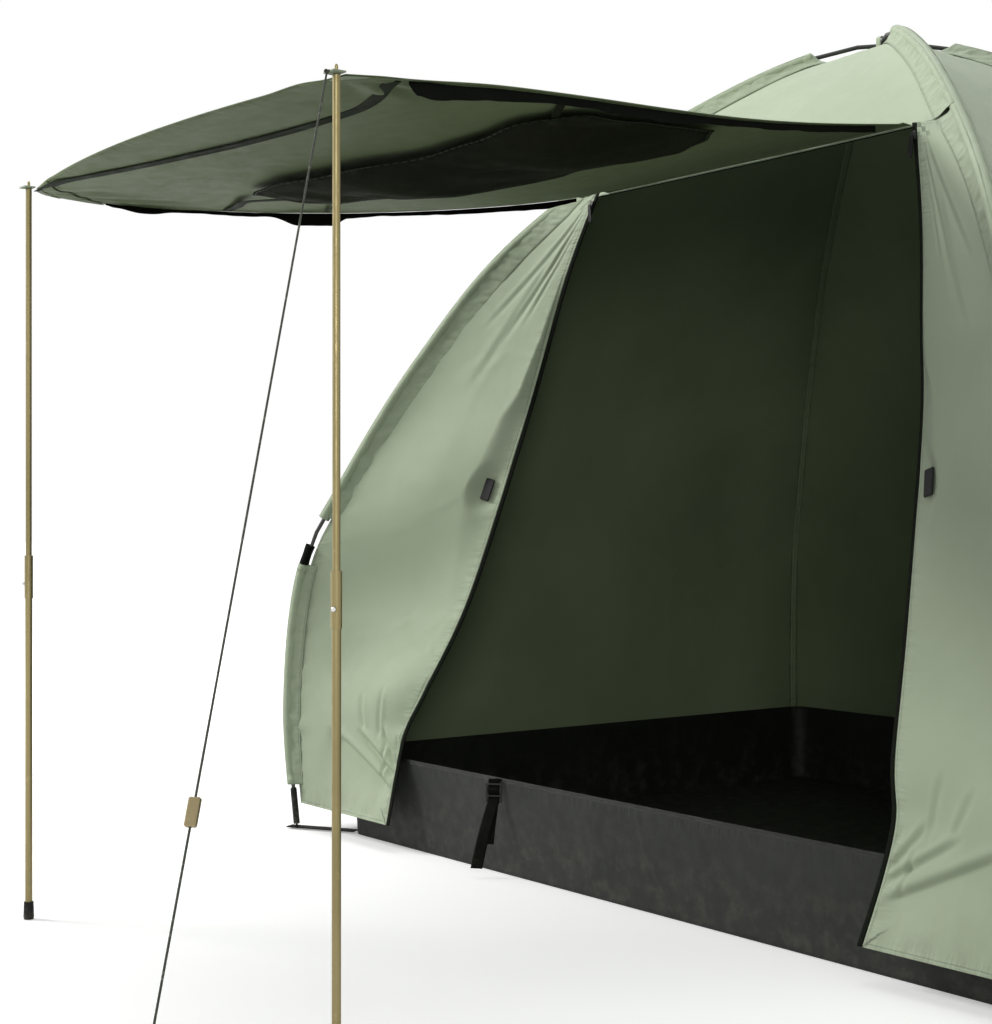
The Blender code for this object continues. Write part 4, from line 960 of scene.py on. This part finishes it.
def door_flap():
    # The flap's underside is painted shade.
    cloth("door_flap_cloth", lambda u, v: flap_point(2 * u - 1, v), 110, 120, (0, 0, 1),
          ["sage cloth", "olive lining"], "door_flap", flap_relief, body="flap")
    for word, side in (("left", -1), ("right", 1)):
        def surface(u, v):
            along = lerp(*BAND_RUN, v)
            depth = share_at(COVER_DEPTHS[side], along) + 0.0012 * ripple(v, 0, 0.03, side)
            wave = 0.0020 * math.sin(2 * math.pi * 9 * v) + 0.0014 * ripple(v, 0.5, 0.05, side)
            spot = flap_point(side * (1 - (BAND_INSET + wave * u) / FLAP_ROOT_HALF), along, CLOTH / 2 + 2 * GAP)
            return spot - Vector((0, 0, depth * u))
        cloth(f"flap_zip_cover_{word}_cloth", surface, 5, 150, (side, 0, 0), "black webbing",
              f"flap_zip_cover_{word}", body="flap", thickness=0.0016)
        flap_corner(word, side)
    strip = [(-0.992, 0.996), (-0.743, 0.988), (-0.395, 0.950), (-0.106, 0.918), (0.155, 0.891), (0.412, 0.872),
             (0.610, 0.864), (0.700, 0.866), (0.800, 0.880), (0.905, 0.905), (0.975, 0.920)]
    ribbon("flap_cross_tape", [(u, v, 0.0018) for u, v in strip], 0.022, steps=8)


def flap_corner(word, side):
    """Doubled corner of the flap, where it hooks to the pole's tab: a patch under it in the underside's painted
    shade, and a cap over it.
    """
    for name, wide, deep, below, chosen in (("patch", 0.17, 0.10, 0.0021, "olive lining"),
                                            ("cap", 0.055, 0.035, 0.0032, "sage trim")):
        def spot(u, v):
            reach = lerp(0.03, 1.0, v)
            return side * (1 - wide * reach * (1 - u)), 1 - deep * reach * u
        cloth(f"flap_corner_{name}_{word}", lambda u, v: flap_point(*spot(u, v), below), 16, 16, (0, 0, -1),
              chosen, relief=lambda u, v, edge, run: -flap_lift(*spot(u, v)), body="flap",
              thickness=0.0008, sides=("v1",))


def mesh_door():
    """The inner door's net, gathered to a slack leaf, with its ties to the flap."""
    leaf = spline_through([Vector(share) for share in MESH_LEAF_SHARES], 6)

    def place_on(u, v):
        place_in_leaf = u * (len(leaf) - 1)
        k = min(int(place_in_leaf), len(leaf) - 2)
        across, rear, front = leaf[k].lerp(leaf[k + 1], place_in_leaf - k)
        bag = MESH_SAG * arc(v) * arc(u)
        fold = MESH_FOLD_DEPTH * math.sin(2 * math.pi * MESH_FOLDS * u) * arc(v)
        return across, lerp(rear, front, v), MESH_BELOW + max(bag + fold, 0)

    def surface(u, v):
        across, out, below = place_on(u, v)
        middle = arc(u)
        scallop = 0.007 * middle * math.sin(46 * u + 1.0) * (1 - v) ** 2 \
            + 0.005 * middle * math.sin(31 * u) * v ** 3
        crumple = 0.0035 * ripple(u * 3, v, 0.22, 5.0) * arc(v)
        return flap_point(across, out + scallop, below + crumple + 0.004 * middle * abs(2 * v - 1) ** 3)
    ties = [ribbon(f"mesh_tie_{word}", spots, width) for word, width, spots in (
        ("end", 0.018, ((*place_on(0.01, 0.5)[:2], 0.013), (-0.60, 0.737, 0.010), (-0.76, 0.728, 0.007),
                        (-0.95, 0.716, 0.0024))),
        ("rear", 0.008, ((-0.44, 0.622, 0.016), (-0.66, 0.597, 0.010), (-0.88, 0.564, 0.0026))),
        ("front", 0.014, ((0.815, 0.608, 0.016), (0.875, 0.622, 0.008), (0.930, 0.634, 0.0026))))]
    cloth("mesh_door_net", surface, 150, 46, (0, 0, -1), ["insect net"], "mesh_door", body="flap",
          thickness=0.0006)


def ribbon(name, spots, width, steps=10):
    """Olive tape under the flap along a smooth line through spots on it, as flat as its turns let it."""
    path = spline_through([flap_point(*spot) for spot in spots], steps)
    below = Vector((0, 0, -1))

    def surface(u, v):
        k = round(v * (len(path) - 1))
        ahead = (path[min(k + 1, len(path) - 1)] - path[max(k - 1, 0)]).normalized()
        return path[k] + ahead.cross(below).normalized() * (u - 0.5) * width
    return cloth(name, surface, 4 / FINE, (len(path) - 1) / FINE, below, "olive tape", body="flap",
                 thickness=0.0008)


# Hem of a sleeve's ends: its width, and how far it stands out. Pole keepers: radius, waist, and run in the window
HEM_WIDE, HEM_PROUD = 0.014, 0.0008
CUFF_RADIUS, CUFF_WAIST, CUFF_RUN = 0.0112, 0.10, (0.002, 0.046)


def sleeves():
    """Each leg's sleeve: a lower and an upper run of sewn tube, bound at both sides of its window."""
    sides = 20
    radius = (SLEEVE_DIAMETER - SLEEVE_WALL) / 2 - HEM_PROUD / 2
    for leg, arch in ARCHES.items():
        runs = ((arch.at_height(SLEEVE_BOTTOM), arch.at_height(SLEEVE_WINDOW[0])),
                (arch.at_height(SLEEVE_WINDOW[1]), arch.at_radius(SLEEVE_END_RADIUS)))

        def build(shape):
            cut, edge, run = layers_of(shape)

            def tube_run(low, high, steps):
                rings = []
                stops = [lerp(low, high, step / steps) for step in range(1, steps)]
                stops = [stop for stop in stops if low + HEM_WIDE + 0.003 < stop < high - HEM_WIDE - 0.003]
                hems = (0.0, 0.004, 0.009, HEM_WIDE - 0.0006, HEM_WIDE)
                for distance in sorted([low + hem for hem in hems] + stops + [high - hem for hem in hems]):
                    swell = HEM_PROUD if min(distance - low, high - distance) < HEM_WIDE - 0.0003 else 0.0
                    ring = []
                    for k in range(sides):
                        angle = 2 * math.pi * k / sides
                        gather = 0.0009 * ripple(distance, angle * 0.004, 0.016, k * 0.12)
                        size = radius + swell + gather * (0.4 if swell else 1)
                        vert = shape.verts.new(arch.around(distance, angle, size))
                        vert[edge], vert[run] = abs(math.pi - angle) * radius, distance
                        ring.append((vert, (angle * radius, distance)))
                    rings.append(ring)
                for lower, upper in zip(rings, rings[1:]):
                    for k in range(sides):
                        m = (k + 1) % sides
                        face = shape.faces.new([lower[k][0], lower[m][0], upper[m][0], upper[k][0]])
                        for corner, (_, spot) in zip(face.loops, (lower[k], lower[m], upper[m], upper[k])):
                            corner[cut].uv = spot
            for low, high in runs:
                tube_run(low, high, max(8, round((high - low) / 0.008 * FINE)))
            bmesh.ops.recalc_face_normals(shape, faces=shape.faces)
        item = mesh_piece(f"pole_sleeve_{leg}_cloth", build, ["sleeve cloth", "shaded lining"],
                          replaces=[f"pole_sleeve_{leg}"], sharp=0)
        thicken(item, 0.0009, 1)
        window_cuff(leg, arch)


def window_cuff(leg, arch):
    """Black keeper round the bare pole, just above the lower sleeve."""
    low, high = (arch.at_height(SLEEVE_WINDOW[0] + above) for above in CUFF_RUN)

    def surface(u, v):
        distance = lerp(low, high, v)
        angle = 2 * math.pi * (u - 0.5)
        size = CUFF_RADIUS * (1 - CUFF_WAIST * arc(v)) \
            + 0.0004 * ripple(distance, angle * 0.004, 0.012, 5)
        return arch.around(distance, angle, size)
    cloth(f"pole_keeper_{leg}", surface, 24, 10, arch.frame((low + high) / 2)[2], "black webbing",
          thickness=0.0012)


def panel_edges():
    """For each leg and side of it: the panel there as a spot at a distance along the pole and in from its edge."""
    def on_panel(surface, leg, at_end, low, by_height=False):
        arch = ARCHES[leg]
        start, end = (low, ZIP_TOP) if by_height else (arch.at_height(low), arch.at_radius(CROWN_RADIUS))

        def spot(distance, inset):
            along = arch.flat(distance)[0].y if by_height else distance
            v = min(max((along - start) / (end - start), 0.0), 1.0)
            share = min(inset / (surface(1, v) - surface(0, v)).length, 0.45)
            return surface(1 - share if at_end else share, v)
        return spot

    def both_edges(first, second, low=HEM_HEIGHT, sag=PANEL_SAG):
        surface = between_legs(first, second, low, sag)
        return on_panel(surface, first, False, low), on_panel(surface, second, True, low)

    left_rear, left_front = both_edges(BACK_LEFT, FRONT_LEFT)
    right_front, right_rear = both_edges(FRONT_RIGHT, BACK_RIGHT)
    back_right, back_left = both_edges(BACK_RIGHT, BACK_LEFT)
    roof_left, roof_right = both_edges(FRONT_LEFT, FRONT_RIGHT, HEADER_HEIGHT, ROOF_SAG)
    wing_left, wing_right = (
        on_panel(wing_surface(leg, side, ZIP_TAPE_WIDTH + TAPE_GAP), leg, False, HEM_HEIGHT, by_height=True)
        for leg, side in ((FRONT_LEFT, -1), (FRONT_RIGHT, 1)))
    return {FRONT_LEFT: (left_front, wing_left, roof_left), FRONT_RIGHT: (right_front, wing_right, roof_right),
            BACK_RIGHT: (right_rear, back_right), BACK_LEFT: (back_left, left_rear)}


# Sleeve sides: how far out and round the sleeve they start, and how far they stand off the panel and dip
SIDE_RISE, SIDE_TURN, SIDE_PROUD, SIDE_DIP = 0.0135, 0.62, 0.0022, 0.0034
SEAM_TAPE_INSET, SEAM_TAPE_BELOW = 0.009, 0.0026
SIDE_WIDTHS = {"low": (0.020, 0.020), "high": (0.034, 0.052), "roof": (0.050, 0.034)}


def sleeve_flanges():
    """Ruffled sides of each sleeve, sewn down on the panels; and the tape inside that covers the join."""
    for leg, panels in panel_edges().items():
        arch = ARCHES[leg]
        low, mid_low = arch.at_height(SLEEVE_BOTTOM), arch.at_height(SLEEVE_WINDOW[0])
        mid_high, high = arch.at_height(SLEEVE_WINDOW[1]), arch.at_radius(SLEEVE_END_RADIUS)
        header = arch.at_height(HEADER_HEIGHT)
        runs = [(0, low, mid_low, "low"), (0, mid_high, high, "high"), (1, low, mid_low, "low")]
        if len(panels) == 3:
            runs += [(1, mid_high, header - 0.004, "high"), (2, header + 0.004, high, "roof")]
        else:
            runs.append((1, mid_high, high, "high"))
        for which, start, end, word in runs:
            spot_on = panels[which]
            middle = (start + end) / 2
            side = 1 if (spot_on(middle, 0.04) - arch.frame(middle)[0]).dot(arch.beside) > 0 else -1

            def width_at(v):
                return lerp(*SIDE_WIDTHS[word], smooth_step(v) if word == "high" else v)

            def surface(u, v):
                distance = lerp(start, end, v)
                outward = arch.frame(distance)[2]
                top = arch.around(distance, side * SIDE_TURN, SIDE_RISE)
                lifted = spot_on(distance, width_at(v)) + outward * SIDE_PROUD
                return top.lerp(lifted, u) - outward * SIDE_DIP * arc(u)

            def ruffle(u, v, edge, run):
                seed = which + len(leg)
                across = math.sin(math.pi * min(u * 1.15, 1.0)) * (0.7 if word == "low" else 1.0)
                slanted = run + u * 0.022
                return (0.0042 * ripple(slanted, u * 0.03, 0.030, seed)
                        + 0.0022 * ripple(slanted, u * 0.04, 0.012, seed + 4)
                        - 0.0016 * abs(ripple(slanted, u * 0.02, 0.017, seed + 9))) * across
            face = arch.frame(middle)[2] + arch.beside * side * 0.4
            cloth(f"sleeve_side_{leg}_{which}_{word}", surface, 12, max(20, (end - start) / 0.0045), face,
                  ["sleeve cloth", "shaded lining"], relief=ruffle, thickness=0.0007, sides=("u0", "u1"))
        first, second = panels[0], panels[1]

        def join(u, v):
            distance = lerp(arch.at_height(HEM_HEIGHT) + 0.004, arch.at_radius(CROWN_RADIUS + 0.02), v)
            other = panels[2] if len(panels) == 3 and distance > header else second
            spot = first(distance, SEAM_TAPE_INSET).lerp(other(distance, SEAM_TAPE_INSET), u)
            return spot - arch.frame(distance)[2] * SEAM_TAPE_BELOW
        cloth(f"seam_tape_{leg}", join, 4, 110, -arch.out, "shaded lining", thickness=0.0006,
              sides=("u0", "u1"))


def crossing_tie(patch_height):
    """Tape loop that holds both poles down to the crown."""
    half, thick, depth, corner = 0.0125, 0.0012, 0.012, 0.004
    top = APEX_HEIGHT + POLE_DIAMETER * 1.5 + 3 * GAP + thick / 2
    bottom = patch_height + CLOTH / 2 + GAP + thick / 2
    outline = [(-half, bottom), (half, bottom), (half, top - corner), (half - corner, top), (corner - half, top),
               (-half, top - corner)]
    knots = [Vector((0, y, z)) for y, z in outline]
    loop = []
    for a, b in zip(knots, knots[1:] + knots[:1]):
        loop += [a.lerp(b, k / 4) for k in range(4)]

    def build(shape):
        cut = layers_of(shape)[0]
        rows = [[shape.verts.new(spot + Vector((x * depth, 0, 0))) for spot in loop]
                for x in (-0.5, -0.25, 0, 0.25, 0.5)]
        for low, high in zip(rows, rows[1:]):
            bridge(shape, low, high)
        for face in shape.faces:
            for corner_here in face.loops:
                spot = corner_here.vert.co
                corner_here[cut].uv = (spot.x, spot.y + spot.z)
        bmesh.ops.recalc_face_normals(shape, faces=shape.faces)
    item = mesh_piece("crossing_tie_tape", build, ["sage trim", "sage trim"], replaces=["crossing_tie"],
                      sharp=0)
    thicken(item, 0.0010)


# Heights of the tub's rows, longest step along its outline, and longest edge in its floor
TUB_ROWS = (FLOOR_LEVEL, 0.010, 0.03, 0.06, 0.09, 0.12, 0.15, 0.175, 0.19, TUB_WALL_HEIGHT)
TUB_STEP, FLOOR_STEP = 0.035, 0.09


def floor_tub():
    """Floor sheet with upstanding walls, from one rounded outline drawn outwards and up."""
    shrink = TUB_CLOTH / 2

    def outline(height):
        spots = []
        for sign_x, sign_y, start in ((1, -1, -90), (1, 1, 0), (-1, 1, 90), (-1, -1, 180)):
            depth = TUB_FRONT if sign_y < 0 else TUB_BACK
            taper = TUB_TAPER * (1 - height / TUB_WALL_HEIGHT) + shrink
            cx = sign_x * (TUB_HALF_WIDTH - TUB_CORNER_RADIUS - taper)
            cy = sign_y * (depth - TUB_CORNER_RADIUS - taper)
            for step in range(7):
                angle = math.radians(start + 90 * step / 6)
                spots.append(Vector((cx + TUB_CORNER_RADIUS * math.cos(angle),
                                     cy + TUB_CORNER_RADIUS * math.sin(angle), height)))
        full = []
        for a, b in zip(spots, spots[1:] + spots[:1]):
            parts = max(1, round((b - a).length / TUB_STEP * FINE))
            full += [a.lerp(b, k / parts) for k in range(parts)]
        return full

    def build(shape):
        cut, edge, run = layers_of(shape)
        base = outline(FLOOR_LEVEL)
        rings = []
        for height in TUB_ROWS:
            ring = outline(height)
            ring = ring[:len(base)] if len(ring) >= len(base) else ring + [ring[-1]] * (len(base) - len(ring))
            rings.append(ring)
        travel = [0.0]
        for a, b in zip(base, base[1:]):
            travel.append(travel[-1] + (b - a).length)
        made = []
        for ring in rings:
            row = []
            for k, spot in enumerate(ring):
                away = Vector((spot.x, spot.y, 0)).normalized()
                wall_share = spot.z / TUB_WALL_HEIGHT
                wave = 0.0028 * ripple(travel[k], spot.z * 0.5, 0.16, 1.0) * arc(wall_share) \
                    - 0.0016 * wall_share
                vert = shape.verts.new(spot + away * wave)
                vert[edge], vert[run] = TUB_WALL_HEIGHT - spot.z, travel[k]
                row.append(vert)
            made.append(row)
        for low, high in zip(made, made[1:]):
            bridge(shape, low, high)
        inner = made[0]
        rim = [shape.edges.get((inner[k], inner[(k + 1) % len(inner)])) for k in range(len(inner))]
        filled = bmesh.ops.triangle_fill(shape, edges=rim, use_beauty=True)
        floor = [part for part in filled["geom"] if isinstance(part, bmesh.types.BMFace)]
        for _ in range(4):
            flat_faces = set(floor)
            long_edges = [e for e in {e for f in floor for e in f.edges}
                          if e.calc_length() > FLOOR_STEP and len(e.link_faces) == 2
                          and all(f.normal.length and f in flat_faces for f in e.link_faces)]
            if not long_edges:
                break
            bmesh.ops.subdivide_edges(shape, edges=long_edges, cuts=1, use_grid_fill=False)
            bmesh.ops.triangulate(shape, faces=[f for f in shape.faces if len(f.verts) > 4])
            floor = [f for f in shape.faces if all(v.co.z < FLOOR_LEVEL + 0.0001 for v in f.verts)]
        rim_verts = set(inner)
        for vert in shape.verts:
            if vert.co.z < FLOOR_LEVEL + 0.0001 and vert not in rim_verts:
                vert[edge] = 1.0
                vert.co.z += 0.0016 * max(0.0, ripple(vert.co.x, vert.co.y, 0.21, 4.0)) \
                    * smooth_step((min(TUB_HALF_WIDTH - abs(vert.co.x), TUB_BACK - abs(vert.co.y)) - 0.03) / 0.08)
        for face in shape.faces:
            for corner in face.loops:
                spot = corner.vert.co
                corner[cut].uv = (spot.x + 0.7 * spot.z, spot.y + 0.7 * spot.z)
        bmesh.ops.recalc_face_normals(shape, faces=shape.faces)
        lowest = min(shape.faces, key=lambda f: f.calc_center_median().z)
        if lowest.normal.z > 0:
            bmesh.ops.reverse_faces(shape, faces=shape.faces)
    item = mesh_piece("floor_tub_cloth", build, ["floor cloth", "floor cloth"], replaces=["floor_tub"],
                      sharp=0)
    thicken(item, 0.0012)


def strap():
    """Webbing woven through the ladder lock, hanging down to a folded end."""
    weave = BUCKLE_THICKNESS / 2 + STRAP_THICKNESS / 2 + 3 * GAP
    front = -TUB_FRONT - weave - STRAP_THICKNESS / 2 - GAP
    first_bar = BUCKLE_TOP - BUCKLE_BAR / 2
    last_bar = first_bar - 3 * BUCKLE_PITCH

    pivot = Matrix.Translation((STRAP_SIDE + BUCKLE_WIDTH / 2, front, 0))
    turn = pivot @ Matrix.Rotation(math.radians(STRAP_TURN), 4, "Z") @ pivot.inverted()

    def at(x, z, stand=0.0):
        if z > first_bar:
            return turn @ Vector((x, front + weave - stand, z))
        if z > last_bar:
            return turn @ Vector((x, front + weave * math.cos(math.pi * (first_bar - z) / BUCKLE_PITCH), z))
        hang = (last_bar - z) / (last_bar - STRAP_TAIL_END)
        bow = STRAP_BOW * arc(hang) + STRAP_SWING * hang + stand
        return turn @ Vector((x - STRAP_LEAN * hang, front - weave - bow, z))

    def across(u):
        return STRAP_SIDE + (u - 0.5) * STRAP_WIDTH

    def surface(u, v):
        return at(across(u), lerp(TUB_WALL_HEIGHT - 0.001, STRAP_TAIL_END, v))

    def fold(u, v):
        return at(across(u), lerp(STRAP_TAIL_END + 0.018, STRAP_TAIL_END, v), 0.0014)

    def sewn_end(u, v):
        low = at(across(u), BUCKLE_TOP + 0.004)
        high = Vector((STRAP_SIDE + 0.004 + (u - 0.5) * STRAP_WIDTH * 0.9, -TUB_FRONT - 0.0012,
                       TUB_WALL_HEIGHT - 0.002))
        return low.lerp(high, v)

    def behind(u, v):
        spot = at(across(u), lerp(last_bar - 0.010, STRAP_TAIL_END + 0.050, v), -0.0035 - 0.006 * v)
        return spot + Vector((0.012 * v, 0.004 * v, 0))
    for name, shape, rows, held, thickness, stands_for in (
            ("strap_second_layer", behind, 60, "hung", 0.0012, None),
            ("strap_end_fold", fold, 12, "folded", 0.0012, None),
            ("strap_sewn_end", sewn_end, 8, "stretched", 0.0010, None),
            ("buckle_strap_webbing", surface, 150, "hung", 0.0012, "buckle_strap")):
        cloth(name, shape, 6, rows, (0, -1, 0), "black webbing", stands_for,
              thickness=thickness)


# Finish of each node that keeps its own shape, by how the node's name starts
CARRIED_OVER = {
    "under_pole": "arch tube", "over_pole": "arch tube", "pole_tip": "black plastic",
    "awning_pole": "bronze tube", "pole_collar": "bronze tube", "snap_button": "bright steel",
    "pole_foot": "black plastic", "door_toggle": "black plastic", "ladder_lock": "grey plastic",
    "zip_slider": "dark metal", "line_runner": "runner", "corner_tab": "sage trim", "foot_tab": "black webbing"}


def carried_over():
    """Finishes for the nodes whose shape is right as it is."""
    for name, item in node.items():
        for start, chosen in CARRIED_OVER.items():
            if name.startswith(start):
                item.data.materials.clear()
                item.data.materials.append(finish[chosen])


# ---------------------------------------------------------------- light and floor

# Lamps: name, place, spot that it faces, size, power and colour
LAMPS = (("key", (-4.8, -4.9, 4.3), (0, -0.5, 0.8), 2.2, 330, (1.0, 0.99, 0.965)),
         ("overhead", (-1.0, -0.4, 6.2), (0, -0.2, 0.6), 5.0, 150, (0.98, 0.99, 1.0)),
         ("side", (4.6, -4.4, 1.9), (-0.4, -0.5, 1.1), 1.6, 55, (1.0, 0.995, 0.98)))


def studio():
    """Plain pale floor and backdrop, and three soft lamps."""
    world = bpy.data.worlds.new("studio")
    bpy.context.scene.world = world
    world.use_nodes = True
    b = Board(world.node_tree)
    background = world.node_tree.nodes["Background"]
    b.feed(background.inputs["Color"], b.blend(b.seen(), (0.27, 0.28, 0.28), (1.0, 1.0, 1.0)))

    b, shader = plain_board("studio floor")
    seen = b.seen()
    b.feed(shader["Base Color"], b.blend(seen, (0.30, 0.31, 0.30), (0.92, 0.92, 0.92)))
    away = b.node("ShaderNodeVectorMath", {"operation": "LENGTH"}, Vector=b.here()).outputs["Value"]
    shader["Emission Color"].default_value = (1.0, 1.0, 1.0, 1.0)
    b.feed(shader["Emission Strength"], b.times(seen, b.ramp(away, 1.6, 5.0, 0.30, 1.0)))
    shader["Roughness"].default_value = 0.9
    shader["Specular IOR Level"].default_value = 0.0
    shape = bmesh.new()
    bmesh.ops.create_grid(shape, x_segments=1, y_segments=1, size=40)
    bmesh.ops.translate(shape, verts=shape.verts, vec=(0, 0, -0.0005))
    mesh = bpy.data.meshes.new("studio_floor")
    shape.to_mesh(mesh)
    shape.free()
    mesh.materials.append(finish["studio floor"])
    floor = bpy.data.objects.new("studio_floor", mesh)
    bpy.context.scene.collection.objects.link(floor)

    for name, spot, aim, size, power, tint in LAMPS:
        lamp = bpy.data.lights.new(name, "AREA")
        lamp.shape, lamp.size, lamp.energy, lamp.color = "DISK", size, power, tint
        item = bpy.data.objects.new(name, lamp)
        item.location = spot
        item.rotation_euler = (Vector(aim) - Vector(spot)).to_track_quat("-Z", "Y").to_euler()
        bpy.context.scene.collection.objects.link(item)


skin_panels()
crossing_tie(crown())
wings()
header()
hinge_cloth()
door_flap()
mesh_door()
sleeves()
sleeve_flanges()
floor_tub()
strap()
carried_over()
studio()

bpy.context.scene.view_settings.view_transform = "Standard"
